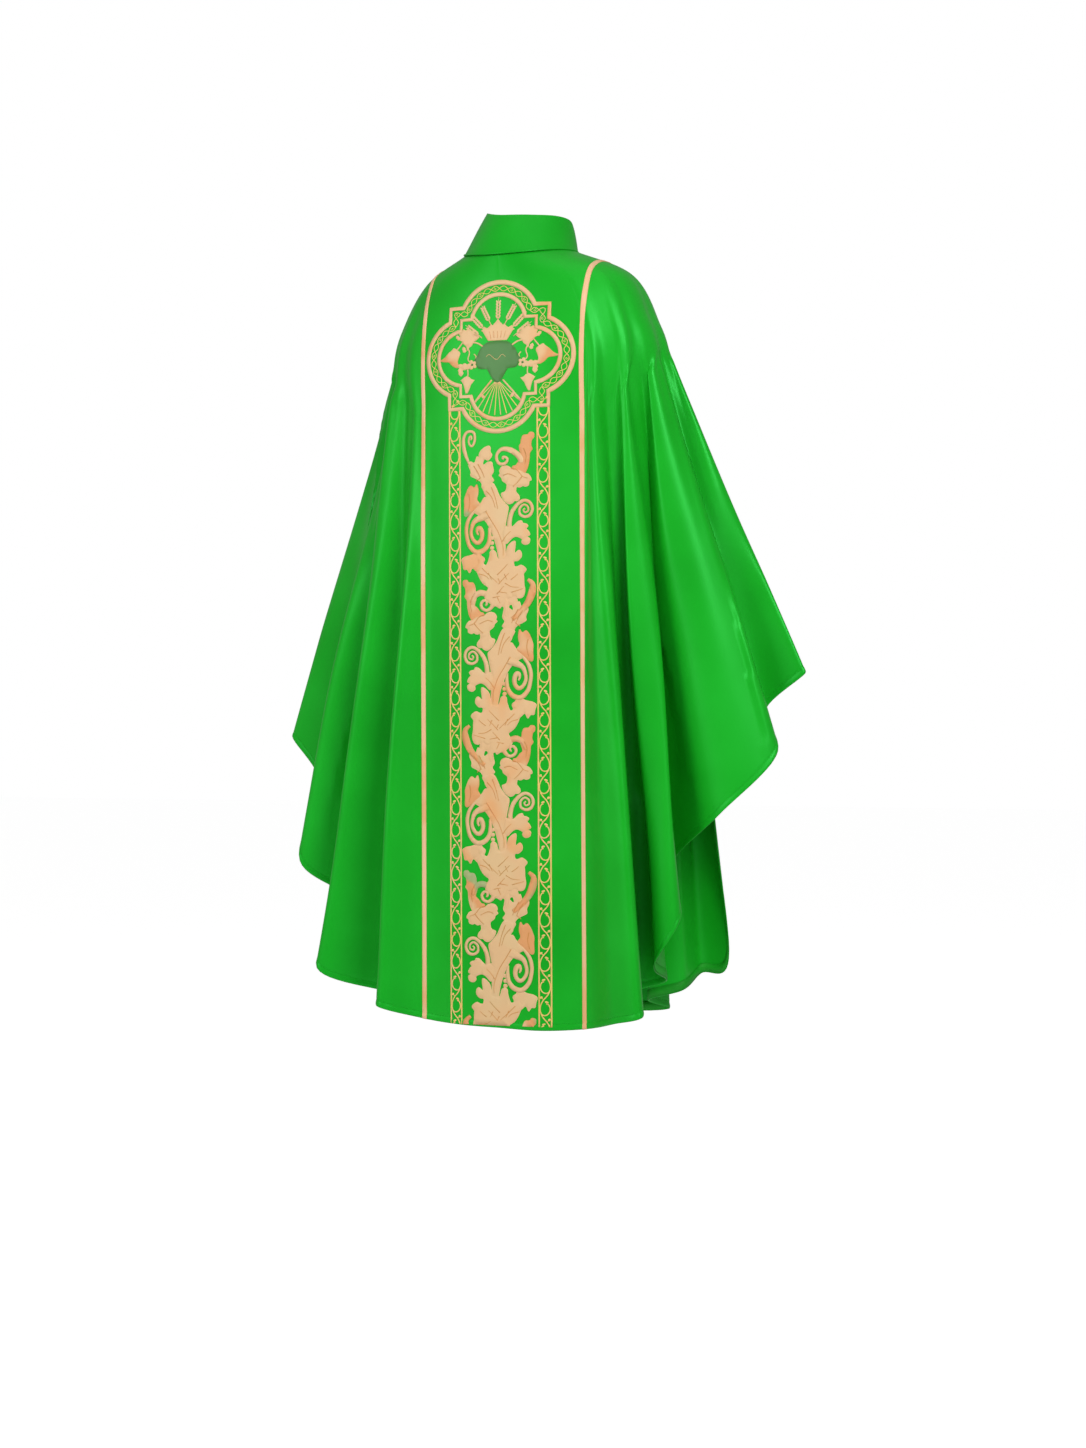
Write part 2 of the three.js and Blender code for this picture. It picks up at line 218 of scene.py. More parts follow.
@dataclass(frozen=True)
class PlainWeaveFinish:
    """Plain woven cloth, for linings, tapes and canvas."""

    name: str
    colour: tuple
    roughness: float = 0.6
    pitch: float = 0.6 * MM

    def build(self) -> bpy.types.Material:
        """Build the material.

        Returns:
            The finished material.
        """
        bench = NodeBench(self.name)
        place = bench.add("TexCoord")
        cloud = bench.add("TexNoise", Scale=9.0, Detail=3.0)
        bench.join(place.outputs["Object"], cloud.inputs["Vector"])
        darker = tuple(0.82 * value for value in self.colour)
        tone = bench.ramp(cloud.outputs["Fac"], [(0.35, darker), (0.65, self.colour)])
        bench.join(tone, bench.shader.inputs["Base Color"])
        across = bench.add("TexWave", wave_type="BANDS", bands_direction="X", Distortion=0.4)
        down = bench.add("TexWave", wave_type="BANDS", bands_direction="Z", Distortion=0.4)
        for wave in (across, down):
            wave.inputs["Scale"].default_value = 1.0 / (2 * math.pi * self.pitch)
            bench.join(place.outputs["Object"], wave.inputs["Vector"])
        both = bench.add("Math", operation="MULTIPLY")
        bench.join(across.outputs["Fac"], both.inputs[0])
        bench.join(down.outputs["Fac"], both.inputs[1])
        bench.join(bench.bump(both.outputs["Value"], 0.08 * MM, 0.35), bench.shader.inputs["Normal"])
        bench.surface(Roughness=self.roughness, Specular_IOR_Level=0.25)
        return bench.material


class Thread(Enum):
    """The threads of the embroidery, in the order of its material slots."""

    PEACH = 0
    ORANGE = 1
    GOLD = 2
    SHADOW = 3
    VEIN = 4
    RIM = 5


class Finishes:
    """All the finishes of the garment, built once."""

    def __init__(self) -> None:
        """Build every material."""
        self.satin = SatinFinish().build()
        self.lining = PlainWeaveFinish("green_lining", (0.0075, 0.35, 0.0135)).build()
        self.canvas = PlainWeaveFinish("collar_canvas", (0.75, 0.73, 0.66), 0.8, 1.0 * MM).build()
        peach, gold = (0.75, 0.475, 0.235), (0.84, 0.57, 0.17)
        dark, dark_light, dark_deep = (0.055, 0.2, 0.036), (0.06, 0.215, 0.04), (0.05, 0.185, 0.034)
        band, band_light, band_deep = (0.82, 0.49, 0.26), (0.78, 0.41, 0.18), (0.83, 0.51, 0.29)
        self.galloon = ThreadFinish("galloon_band", band, band_light, band_deep).build()
        self.threads = [
            ThreadFinish("peach_thread", peach, (0.78, 0.4, 0.16), (0.74, 0.5, 0.25)).build(),
            ThreadFinish("orange_thread", (0.73, 0.33, 0.12), peach, (0.36, 0.42, 0.17), 45 * MM).build(),
            ThreadFinish("gold_thread", gold, (0.86, 0.53, 0.22), (0.8, 0.55, 0.14)).build(),
            ThreadFinish("dark_green_thread", dark, dark_light, dark_deep).build(),
            ThreadFinish("vein_thread", (0.62, 0.27, 0.055), (0.66, 0.24, 0.05), (0.55, 0.27, 0.06)).build(),
            ThreadFinish("rim_thread", (0.84, 0.53, 0.29), (0.86, 0.47, 0.27), (0.82, 0.56, 0.27)).build(),
        ]


# ------------------------------------------------------------------------------------------------ pieces


def finish_piece(obj: bpy.types.Object, nodes: list[str]) -> bpy.types.Object:
    """Put a piece in the scene, ride it on the garment and hide the solids that it stands for.

    Args:
        obj: the piece.
        nodes: the solids that it replaces.

    Returns:
        The same piece.
    """
    if obj.name not in bpy.context.scene.collection.objects:
        bpy.context.scene.collection.objects.link(obj)
    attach(obj, BODY)
    if nodes:
        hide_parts(*nodes)
    log.info("%s: %d faces", obj.name, len(obj.data.polygons))
    return obj


def object_from(bm: bmesh.types.BMesh, name: str, materials: list[bpy.types.Material]) -> bpy.types.Object:
    """Turn a bmesh into a smooth-shaded object.

    Args:
        bm: the mesh, which is freed.
        name: the object's name.
        materials: its material slots.

    Returns:
        The object, not yet in the scene.
    """
    mesh = bpy.data.meshes.new(name)
    for face in bm.faces:
        face.smooth = True
    bm.to_mesh(mesh)
    bm.free()
    for material in materials:
        mesh.materials.append(material)
    return bpy.data.objects.new(name, mesh)


def thicken(obj: bpy.types.Object, thickness: float) -> None:
    """Give a sheet its thickness, outwards from its surface.

    Args:
        obj: the sheet.
        thickness: in metres.
    """
    solid = obj.modifiers.new("thickness", "SOLIDIFY")
    solid.thickness = thickness
    solid.offset = 1.0
    solid.use_even_offset = False


@dataclass
class Run:
    """One length of cord or thread: its points, half widths and whether it closes on itself."""

    points: list
    radii: list
    closed: bool = False


def tube_bmesh(runs: list[Run], sides: int) -> bmesh.types.BMesh:
    """Make round tubes along runs.

    Args:
        runs: the runs, in metres.
        sides: the curve's bevel resolution.

    Returns:
        One mesh of all the tubes.
    """
    curve = bpy.data.curves.new("runs", "CURVE")
    curve.dimensions = "3D"
    curve.bevel_depth = 1.0
    curve.bevel_resolution = sides
    curve.use_fill_caps = True
    for run in runs:
        spline = curve.splines.new("POLY")
        spline.points.add(len(run.points) - 1)
        flat = [value for point in run.points for value in (*point, 1.0)]
        spline.points.foreach_set("co", flat)
        spline.points.foreach_set("radius", run.radii)
        spline.use_cyclic_u = run.closed
    holder = bpy.data.objects.new("runs", curve)
    bpy.context.scene.collection.objects.link(holder)
    bpy.context.view_layer.update()
    mesh = bpy.data.meshes.new_from_object(holder.evaluated_get(bpy.context.evaluated_depsgraph_get()))
    bm = bmesh.new()
    bm.from_mesh(mesh)
    bpy.data.objects.remove(holder)
    bpy.data.curves.remove(curve)
    bpy.data.meshes.remove(mesh)
    bmesh.ops.remove_doubles(bm, verts=bm.verts, dist=1e-7)
    bmesh.ops.recalc_face_normals(bm, faces=bm.faces)
    return bm


# ------------------------------------------------------------------------------------------------ the drape


@dataclass(frozen=True)
class Ring:
    """A ring that the cloth follows over the shoulders: half sizes and heights, in millimetres."""

    side: float
    back: float
    front: float
    z_back: float
    z_side: float
    z_front: float
    square: float
    shift: tuple = (0.0, 0.0)
    side_right: float = 0.0

    def points(self, angle: np.ndarray) -> np.ndarray:
        """Points of the ring.

        Args:
            angle: degrees from the centre back, towards the wearer's right.

        Returns:
            Points in millimetres.
        """
        turn = np.radians(angle)
        across, along = np.sin(turn), np.cos(turn)
        side = np.where((across > 0) & (self.side_right > 0), self.side_right, self.side)
        x = -side * np.sign(across) * np.abs(across) ** (2 / self.square) + self.shift[0]
        depth = np.where(along > 0, self.back, self.front)
        y = depth * np.sign(along) * np.abs(along) ** (2 / self.square) + self.shift[1]
        end = np.where(along > 0, self.z_back, self.z_front)
        return np.stack([x, y, end + (self.z_side - end) * across**2], -1)


# Where each fold's ridge or valley starts round the shoulders, in degrees from the centre back towards the
# wearer's right, and where it meets the hem, in millimetres.
FOLDS = [
    (0, 0, 93, -1094),
    (14, -64, 90, -1096),
    (32.8, -128, 76, -1092),
    (36, -184, 110, -1080),
    (38.8, -226, 108, -1068),
    (44.5, -158, -8, -1048),
    (51, -206, -24, -1030),
    (56, -222, 58, -1001),
    (60.5, -258, 50, -932),
    (66, -204, -42, -868),
    (75, -304, 22, -792),
    (83.5, -378, -8, -708),
    (89, -345, -50, -646),
    (93, -404, -55, -592),
    (100, -326, -92, -606),
    (106, -252, -150, -722),
    (112, -235, -132, -790),
    (119, -242, -171, -1006),
    (125, -197, -178, -1030),
    (131, -194, -116, -1050),
    (136.5, -140, -112, -1066),
    (141.5, -150, -168, -1082),
    (147.2, -120, -158, -1086),
    (166, -60, -154, -1086),
    (180, 0, -156, -1086),
    (194, 60, -154, -1086),
    (212.8, 122, -152, -1086),
    (223, 186, -182, -1072),
    (231, 196, -112, -1046),
    (240, 276, -184, -1000),
    (248, 258, -108, -925),
    (256, 350, -150, -850),
    (263, 340, -88, -708),
    (271, 420, -58, -681),
    (279, 362, -40, -757),
    (286, 372, 6, -868),
    (294, 300, -26, -934),
    (302, 313, 60, -1022),
    (310, 214, 12, -1060),
    (317.5, 182, 120, -1068),
    (327.2, 128, 84, -1086),
    (346, 64, 91, -1092),
]


def between(first: np.ndarray, last: np.ndarray, leave: np.ndarray, arrive: np.ndarray,
            share: np.ndarray) -> np.ndarray:
    """A smooth curve between two points with given directions.

    Args:
        first: where it starts.
        last: where it ends.
        leave: its direction at the start.
        arrive: its direction at the end.
        share: how far along, from 0 to 1.

    Returns:
        The points.
    """
    if first.ndim > share.ndim:
        share = share[..., None]
    cube, square = share**3, share**2
    return (
        (2 * cube - 3 * square + 1) * first
        + (cube - 2 * square + share) * leave
        + (3 * square - 2 * cube) * last
        + (cube - square) * arrive
    )


@dataclass
class Drape:
    """The fall of the cloth: a bell from the neck over the shoulders to the hem.

    A place on it has two numbers: a fold number round the bell, and a step down it. Steps 0 to 3 are the
    neck, the shoulder, the turn over the arm and the start of the straight fall, and step 4 is the hem.
    """

    neck: Ring = Ring(80, 82, 68, 1, 11, -40, 2.0, shift=(6.0, 5.0))
    shoulder: Ring = Ring(149, 94, 100, -44, -25, -92, 2.3, side_right=157)
    turn: Ring = Ring(190, 100, 122, -130, -95, -165, 2.6, side_right=195)
    fall_share: float = 0.11
    first_depth: float = 0.45
    full_depth_at: float = 0.75
    ripples: tuple = (0.0, 0.008, 0.03)
    crease: float = 1.5
    hem_rows: tuple = (14.0, 11.0, 9.0, 7.0, 4.0, 1.5, 0.0)
    hem_relief: tuple = (0.0, 0.0, -0.35, 0.1, 0.55, 0.55, 0.1)
    slit_half: float = 4.0
    slit_end: float = -215.0
    sway: float = 7.0
    softness: tuple = ((-2, 0.1), (-1, 0.25), (0, 0.3), (1, 0.25), (2, 0.1))
    scale: np.ndarray = field(init=False)

    def __post_init__(self) -> None:
        """Fit the fold table to the size of the frame."""
        low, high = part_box("back_panel_left")
        self.scale = np.array([high[0] / 0.415, 1.0, -low[2] / 1.095])
        self.count = len(FOLDS)
        self.angles = np.array([row[0] for row in FOLDS], float)
        self.hem_points = np.array([row[1:] for row in FOLDS], float) * self.scale

    def around(self, fold: np.ndarray) -> tuple[np.ndarray, np.ndarray]:
        """Where the hem is, and how far round the rings, at fold numbers.

        Args:
            fold: fold numbers, which may pass the last fold.

        Returns:
            Hem points in millimetres, and angles in degrees.
        """
        base = np.floor(fold).astype(int)
        share = fold - base
        near = [self.hem_points[(base + step) % self.count] for step in (-1, 0, 1, 2)]
        hem = between(near[1], near[2], (near[2] - near[0]) / 2, (near[3] - near[1]) / 2, share)
        turns = [
            self.angles[(base + step) % self.count] + 360 * np.floor((base + step) / self.count)
            for step in (-1, 0, 1, 2)
        ]
        angle = between(turns[1], turns[2], (turns[2] - turns[0]) / 2, (turns[3] - turns[1]) / 2, share)
        return hem, angle

    def points(self, fold: np.ndarray, step: np.ndarray) -> np.ndarray:
        """Points of the cloth.

        Args:
            fold: fold numbers.
            step: steps down, from 0 to 4.

        Returns:
            Points in metres.
        """
        fold, step = np.broadcast_arrays(np.asarray(fold, float), np.asarray(step, float))
        hem, angle = self.around(fold)
        soft = sum(weight * self.around(fold + shift)[0] for shift, weight in self.softness)
        rings = [
            ring.points(angle) + (hem - soft) * np.array([ripple, ripple, 0.0])
            for ring, ripple in zip((self.neck, self.shoulder, self.turn), self.ripples)
        ]

        def fall(share: np.ndarray) -> np.ndarray:
            """Points of the fall from the turn to the hem, at shares of its length."""
            deep = 1 - (1 - np.clip(share / self.full_depth_at, 0, 1)) ** 1.5
            deep = self.first_depth + (1 - self.first_depth) * deep
            return rings[2] + (soft + (hem - soft) * deep[..., None] - rings[2]) * share[..., None]

        start_share = np.full(fold.shape, self.fall_share)
        start = fall(start_share)
        stops = [*rings, start]
        spans = (70.0, 80.0, 115.0)
        slopes = [(rings[1] - rings[0]) / spans[0]]
        for index in (1, 2):
            before = (stops[index] - stops[index - 1]) / spans[index - 1]
            after = (stops[index + 1] - stops[index]) / spans[index]
            total = spans[index - 1] + spans[index]
            slopes.append((before * spans[index] + after * spans[index - 1]) / total)
        near = 0.01
        steepness = (fall(start_share + near) - fall(start_share - near)) / (2 * near)
        slopes.append(steepness * self.fall_share / spans[2])
        out = fall(self.fall_share + (1 - self.fall_share) * (step - 3))
        for index, span in enumerate(spans):
            leave, arrive = slopes[index] * span, slopes[index + 1] * span
            curve = between(stops[index], stops[index + 1], leave, arrive, step - index)
            here = (step >= index) & (step < index + 1)
            out[here] = curve[here]
        return self.swayed(out, fold, step, angle) * MM

    def swayed(self, points: np.ndarray, fold: np.ndarray, step: np.ndarray, angle: np.ndarray) -> np.ndarray:
        """Let the folds wander a little on their way down, more at the sides than at the back and front."""
        fall = np.clip(step - 2.6, 0, 1.4) / 1.4
        wave = np.sin(fall * 5.2 + fold * 1.7) * np.sin(fall * math.pi)
        wave += 0.45 * np.sin(fall * 10.5 + fold * 2.9) * np.sin(fall * math.pi)
        loose = np.clip((np.abs(np.sin(np.radians(angle))) - 0.5) * 3, 0, 1)
        points[..., 0] += self.sway * wave * loose * 0.6
        points[..., 1] += self.sway * wave * loose * np.sign(points[..., 1])
        small = np.sin(2 * math.pi * 1.15 * fold + 1.5 * np.sin(2.2 * fall))
        small += 0.7 * np.sin(2 * math.pi * 0.63 * fold + 2.1 + 1.3 * fall)
        small *= self.crease * loose * np.sin(math.pi * fall) ** 0.7
        points[..., 0] -= small * np.sin(np.radians(angle))
        points[..., 1] += small * np.cos(np.radians(angle))
        return points

    def fall_length(self, fold: np.ndarray) -> np.ndarray:
        """Length of a step of the straight fall near the hem, in millimetres, at fold numbers."""
        near = 0.05
        above = self.points(fold, np.full(np.shape(fold), 4.0 - near))
        hem = self.points(fold, np.full(np.shape(fold), 4.0))
        return np.linalg.norm(hem - above, axis=-1) / MM / near

    def above_hem(self, fold: np.ndarray, distance: np.ndarray) -> np.ndarray:
        """The step that lies a distance above the hem, in millimetres."""
        return 4.0 - distance / self.fall_length(fold)

    def normals(self, fold: np.ndarray, step: np.ndarray) -> np.ndarray:
        """Outward unit normals of the cloth."""
        near = 1e-3
        round_bell = self.points(fold + near, step) - self.points(fold - near, step)
        high, low = np.maximum(step - 2e-3, 0.0), np.minimum(step + 2e-3, 4.0)
        down = self.points(fold, low) - self.points(fold, high)
        cross = np.cross(down, round_bell)
        return cross / (np.linalg.norm(cross, axis=-1, keepdims=True) + 1e-12)


class Side(Enum):
    """The four quarters of the bell, each with the folds that it runs between."""

    BACK_RIGHT = (0, 13)
    FRONT_RIGHT = (13, 24)
    FRONT_LEFT = (24, 33)
    BACK_LEFT = (33, 42)

    @property
    def label(self) -> tuple[str, str]:
        """Its two words, such as back and right."""
        first, second = self.name.lower().split("_")
        return first, second

    @property
    def on_back(self) -> bool:
        """Whether it is part of the back."""
        return self.name.startswith("BACK")


@dataclass(frozen=True)
class PanelCut:
    """The flat cut of one panel, in metres: a quarter of an oval whose shoulder edge slopes down."""

    length: float
    reach: float = 0.76
    slope: float = 25.0
    neck: float = 0.08

    @property
    def area(self) -> float:
        """Its flat area in square metres: the sector from centre seam to shoulder, less the neck."""
        slope = math.radians(self.slope)
        turn = math.acos(self.reach * math.sin(slope) / self.length)
        half_width = self.reach * math.cos(slope) / math.sin(turn)
        return 0.5 * half_width * self.length * turn - 0.5 * self.neck**2 * (math.pi / 2 - slope)


@dataclass
class Panels:
    """The four satin panels, with their narrow hems."""

    drape: Drape
    finishes: Finishes
    columns_per_fold: int = 12
    rows_to_fall: int = 40
    rows_down: int = 74
    cloth: float = 0.9 * MM
    seam_dip: float = 0.45
    seam_ends: float = -34.0
    back_cut: float = 1.2
    front_cut: float = 1.16

    def grid(self, side: Side) -> bmesh.types.BMesh:
        """The cloth of one panel as a grid, without thickness.

        Args:
            side: which quarter.

        Returns:
            The mesh, facing outwards, with a UV map in metres of cloth.
        """
        first, last = side.value
        columns = (last - first) * self.columns_per_fold
        hem_rows = len(self.drape.hem_rows) - 1
        rows = self.rows_to_fall + self.rows_down + hem_rows
        bm = bmesh.new()
        bmesh.ops.create_grid(bm, x_segments=columns, y_segments=rows, size=0.5)
        places = np.array([vert.co[:2] for vert in bm.verts]) + 0.5
        column = np.rint(places[:, 0] * columns)
        row = np.rint(places[:, 1] * rows).astype(int)
        fold = first + column / self.columns_per_fold
        distance = np.array([self.drape.hem_rows[max(0, index - (rows - hem_rows))] for index in row])
        lowest = self.drape.above_hem(fold, np.full(fold.shape, self.drape.hem_rows[0]))
        middle = 3 + (lowest - 3) * (row - self.rows_to_fall) / self.rows_down
        step = np.where(row < self.rows_to_fall, 3.0 * row / self.rows_to_fall, middle)
        step = np.where(row > rows - hem_rows, self.drape.above_hem(fold, distance), step)
        points = self.drape.points(fold, step)
        normals = self.drape.normals(fold, step)
        relief = np.array([self.drape.hem_relief[max(0, index - (rows - hem_rows))] for index in row])
        seam = np.minimum(column, columns - column) == 0
        height = points[:, 2] / MM
        covered = np.abs(points[:, 0]) / MM < 20
        plain = np.where(covered, (height > self.seam_ends) & (height < -4), True)
        relief = relief - np.where(seam & plain, self.seam_dip, 0.0)
        points = points + normals * (relief * MM)[:, None]
        points = self.part_slit(points, side)
        for vert, point in zip(bm.verts, points):
            vert.co = point
        layer = bm.loops.layers.uv.new("cloth")
        length = 1.1
        width = 0.06 * (last - first)
        for face in bm.faces:
            for loop in face.loops:
                place = places[loop.vert.index]
                loop[layer].uv = (place[0] * width, place[1] * length)
        for edge in bm.edges:
            ends = {places[vert.index][0] for vert in edge.verts}
            edge.smooth = not (edge.is_boundary and len(ends) == 1 and ends <= {0.0, 1.0})
        bm.normal_update()
        facing = sum(face.normal.y for face in bm.faces)
        if (facing > 0) != side.on_back:
            bmesh.ops.reverse_faces(bm, faces=bm.faces)
        return bm

    def part_slit(self, points: np.ndarray, side: Side) -> np.ndarray:
        """Part the front edges at the neck slit."""
        if side.on_back:
            return points
        drape = self.drape
        away = -1 if side is Side.FRONT_RIGHT else 1
        above = np.clip((points[:, 2] / MM - drape.slit_end) / 30, 0, 1)
        near = np.clip(1 - np.abs(points[:, 0]) / (40 * MM), 0, 1)
        points[:, 0] += away * drape.slit_half * MM * above * near
        return points

    def build(self) -> dict:
        """Build the four panels.

        Returns:
            Their search trees by back and front, for laying bands on them.
        """
        trees = {}
        joined = {True: bmesh.new(), False: bmesh.new()}
        for side in Side:
            half, hand = side.label
            bm = self.grid(side)
            scratch = bpy.data.meshes.new("scratch")
            bm.to_mesh(scratch)
            joined[side.on_back].from_mesh(scratch)
            bpy.data.meshes.remove(scratch)
            obj = object_from(bm, f"{half}_panel_{hand}", [self.finishes.satin])
            thicken(obj, self.cloth)
            finish_piece(obj, [f"{half}_panel_{hand}"])
        for back, bm in joined.items():
            trees[back] = BVHTree.FromBMesh(bm)
            bm.free()
        return trees


# ------------------------------------------------------------------------------------------------ needlework


@dataclass
class Needlework:
    """Embroidery drawn flat, in millimetres across and up, then raised and laid on the cloth."""

    height: float = 0.75
    ribbons: dict = field(default_factory=lambda: {thread: [] for thread in Thread})
    fills: list = field(default_factory=list)

    def line(self, points: list, width: float | list, thread: Thread = Thread.PEACH, closed: bool = False,
             lift: float = 0.0) -> None:
        """Draw a line of satin stitch.

        Args:
            points: its middle line.
            width: its width, or one for each point.
            thread: its thread.
            closed: whether it closes on itself.
            lift: how much higher it lies than the cloth.
        """
        widths = width if isinstance(width, list) else [width] * len(points)
        self.ribbons[thread].append((points, widths, closed, lift))

    def fill(self, outline: list, thread: Thread = Thread.PEACH, lift: float = 0.0) -> None:
        """Draw a filled shape of satin stitch inside an outline."""
        self.fills.append((outline, thread, lift))

    def raised(self) -> bmesh.types.BMesh:
        """Raise everything that was drawn.

        Returns:
            A mesh with x across, z up and y the height over the cloth, in metres.
        """
        whole = bmesh.new()
        for thread, drawn in self.ribbons.items():
            for lift in sorted({item[3] for item in drawn}):
                runs = [
                    Run([(x * MM, 0.0, z * MM) for x, z in points], [w * MM / 2 for w in widths], closed)
                    for points, widths, closed, height in drawn if height == lift
                ]
                part = tube_bmesh(runs, 1)
                for vert in part.verts:
                    rise = max(0.0, vert.co.y / MM)
                    sunk = 0.1 if rise == 0 else 0
                    vert.co.y = (lift + self.height * (1 - math.exp(-rise / 0.6)) - sunk) * MM
                self.merge(whole, part, thread)
        for outline, thread, lift in self.fills:
            self.merge(whole, self.raised_shape(outline, lift), thread)
        return whole

    def raised_shape(self, outline: list, lift: float) -> bmesh.types.BMesh:
        """Raise one filled shape, with a rounded edge."""
        part = bmesh.new()
        verts = [part.verts.new((x * MM, (lift - 0.1) * MM, z * MM)) for x, z in outline]
        base = part.faces.new(verts)
        base.normal_update()
        if base.normal.y > 0:
            base.normal_flip()
        top = bmesh.ops.extrude_face_region(part, geom=[base])
        raised = [item for item in top["geom"] if isinstance(item, bmesh.types.BMVert)]
        bmesh.ops.translate(part, verts=raised, vec=(0, (self.height * 0.6) * MM, 0))
        cap = [item for item in top["geom"] if isinstance(item, bmesh.types.BMFace)]
        bmesh.ops.recalc_face_normals(part, faces=part.faces)
        bmesh.ops.inset_region(part, faces=cap, thickness=0.45 * MM, depth=0.3 * MM, use_even_offset=False)
        bmesh.ops.triangulate(part, faces=[face for face in part.faces if len(face.verts) > 4])
        return part

    def merge(self, whole: bmesh.types.BMesh, part: bmesh.types.BMesh, thread: Thread) -> None:
        """Add a part to the whole in one thread's material."""
        for face in part.faces:
            face.material_index = thread.value
        scratch = bpy.data.meshes.new("scratch")
        part.to_mesh(scratch)
        part.free()
        whole.from_mesh(scratch)
        bpy.data.meshes.remove(scratch)

    def laid(self, name: str, middle: tuple, back: bool, tree: BVHTree, lowest: float, cloth: float,
             finishes: Finishes) -> bpy.types.Object:
        """Lay the raised needlework on the cloth.

        Args:
            name: the piece's name.
            middle: where the drawing's origin goes, in metres across and up.
            back: whether it goes on the back.
            tree: the cloth to lay it on.
            lowest: the height that it stops at, in metres.
            cloth: the cloth's thickness.
            finishes: the garment's finishes.

        Returns:
            The object.
        """
        bm = self.raised()
        hand = -1 if back else 1
        bmesh.ops.scale(bm, vec=(hand, 1, 1), verts=bm.verts)
        bmesh.ops.translate(bm, vec=(middle[0], 0, middle[1]), verts=bm.verts)
        geom = bm.verts[:] + bm.edges[:] + bm.faces[:]
        cut = bmesh.ops.bisect_plane(bm, geom=geom, plane_co=(0, 0, lowest), plane_no=(0, 0, -1),
                                     clear_outer=True)
        rim = [item for item in cut["geom_cut"] if isinstance(item, bmesh.types.BMEdge)]
        if rim:
            bmesh.ops.holes_fill(bm, edges=[edge for edge in rim if edge.is_boundary])
        self.slice_up(bm)
        away = 1.0 if back else -1.0
        for vert in bm.verts:
            start = Vector((vert.co.x, 0.6 * away, vert.co.z))
            hit, normal, _, _ = tree.ray_cast(start, Vector((0, -away, 0)))
            if hit is None:
                hit, normal, _, _ = tree.find_nearest(Vector((vert.co.x, 0.09 * away, vert.co.z)))
            if normal.y * away < 0:
                normal = -normal
            vert.co = hit + normal * (cloth + vert.co.y)
        bmesh.ops.recalc_face_normals(bm, faces=bm.faces)
        return object_from(bm, name, finishes.threads)

    def slice_up(self, bm: bmesh.types.BMesh, spacing: float = 9 * MM) -> None:
        """Cut large faces into pieces small enough to follow the cloth."""
        large = [face for face in bm.faces if max(edge.calc_length() for edge in face.edges) > spacing]
        if not large:
            return
        for axis in (0, 2):
            low = min(vert.co[axis] for face in large for vert in face.verts)
            high = max(vert.co[axis] for face in large for vert in face.verts)
            plane = [0.0, 0.0, 0.0]
            plane[axis] = 1.0
            for index in range(1, math.ceil((high - low) / spacing)):
                place = [0.0, 0.0, 0.0]
                place[axis] = low + index * spacing
                crossing = [face for face in bm.faces if face.calc_area() > 8e-6
                            and min(vert.co[axis] for vert in face.verts) < place[axis]
                            < max(vert.co[axis] for vert in face.verts)]
                if not crossing:
                    continue
                geom = list({item for face in crossing for item in (face, *face.edges, *face.verts)})
                bmesh.ops.bisect_plane(bm, geom=geom, plane_co=place, plane_no=plane)


def arc(x: float, z: float, radius: float, first: float, last: float, count: int = 12) -> list:
    """Points of an arc, from one angle to another in degrees."""
    turns = [math.radians(first + (last - first) * index / (count - 1)) for index in range(count)]
    return [(x + radius * math.cos(turn), z + radius * math.sin(turn)) for turn in turns]


def smooth_line(points: list, count: int = 10) -> list:
    """A smooth line through a few points, with a number of points for each stretch."""
    given = np.array([points[0], *points, points[-1]], float)
    out = []
    for index in range(1, len(given) - 2):
        for share in np.arange(count) / count:
            leave = (given[index + 1] - given[index - 1]) / 2
            arrive = (given[index + 2] - given[index]) / 2
            out.append(tuple(between(given[index], given[index + 1], leave, arrive, np.array([share]))))
    out.append(tuple(given[-2]))
    return out


def leaf(x: float, z: float, length: float, width: float, turn: float, lobes: int = 4,
         curl: float = 20.0) -> list:
    """The outline of a lobed leaf that bends as it grows.

    Args:
        x: its base, across.
        z: its base, up.
        length: from base to tip.
        width: at its widest.
        turn: its direction at the base, in degrees from the right.
        lobes: lobes on each side.
        curl: how much its direction changes on the way, in degrees.

    Returns:
        The outline's points.
    """
    count = lobes * 7
    spine = [(x, z)]
    headings = [math.radians(turn)]
    for index in range(count):
        heading = math.radians(turn + curl * index / count)
        headings.append(heading)
        x_before, z_before = spine[-1]
        stride = length / count
        spine.append((x_before + stride * math.cos(heading), z_before + stride * math.sin(heading)))
    sides = ([], [])
    for index in range(1, count):
        share = index / count
        swell = math.sin(math.pi * share**0.8) ** 0.65
        notch = 0.55 + 0.45 * abs(math.sin(math.pi * lobes * share**0.9)) ** 0.7
        half = max(width / 2 * swell * notch, 0.6)
        for hand, side in ((1, sides[0]), (-1, sides[1])):
            side.append((
                spine[index][0] - hand * half * math.sin(headings[index]),
                spine[index][1] + hand * half * math.cos(headings[index]),
            ))
    return [spine[0], *sides[0], spine[-1], *reversed(sides[1])]


def spiral(x: float, z: float, radius: float, start: float, turns: float = 1.6, hand: int = 1) -> list:
    """Points of a spiral that winds inwards from an angle in degrees."""
    count = int(18 * turns)
    out = []
    for index in range(count + 1):
        share = index / count
        angle = math.radians(start) + hand * 2 * math.pi * turns * share
        reach = radius * (1 - 0.88 * share**0.85)
        out.append((x + reach * math.cos(angle), z + reach * math.sin(angle)))
    return out


def taper(count: int, first: float, last: float) -> list:
    """Widths that change evenly from one end to the other."""
    return [first + (last - first) * index / max(count - 1, 1) for index in range(count)]


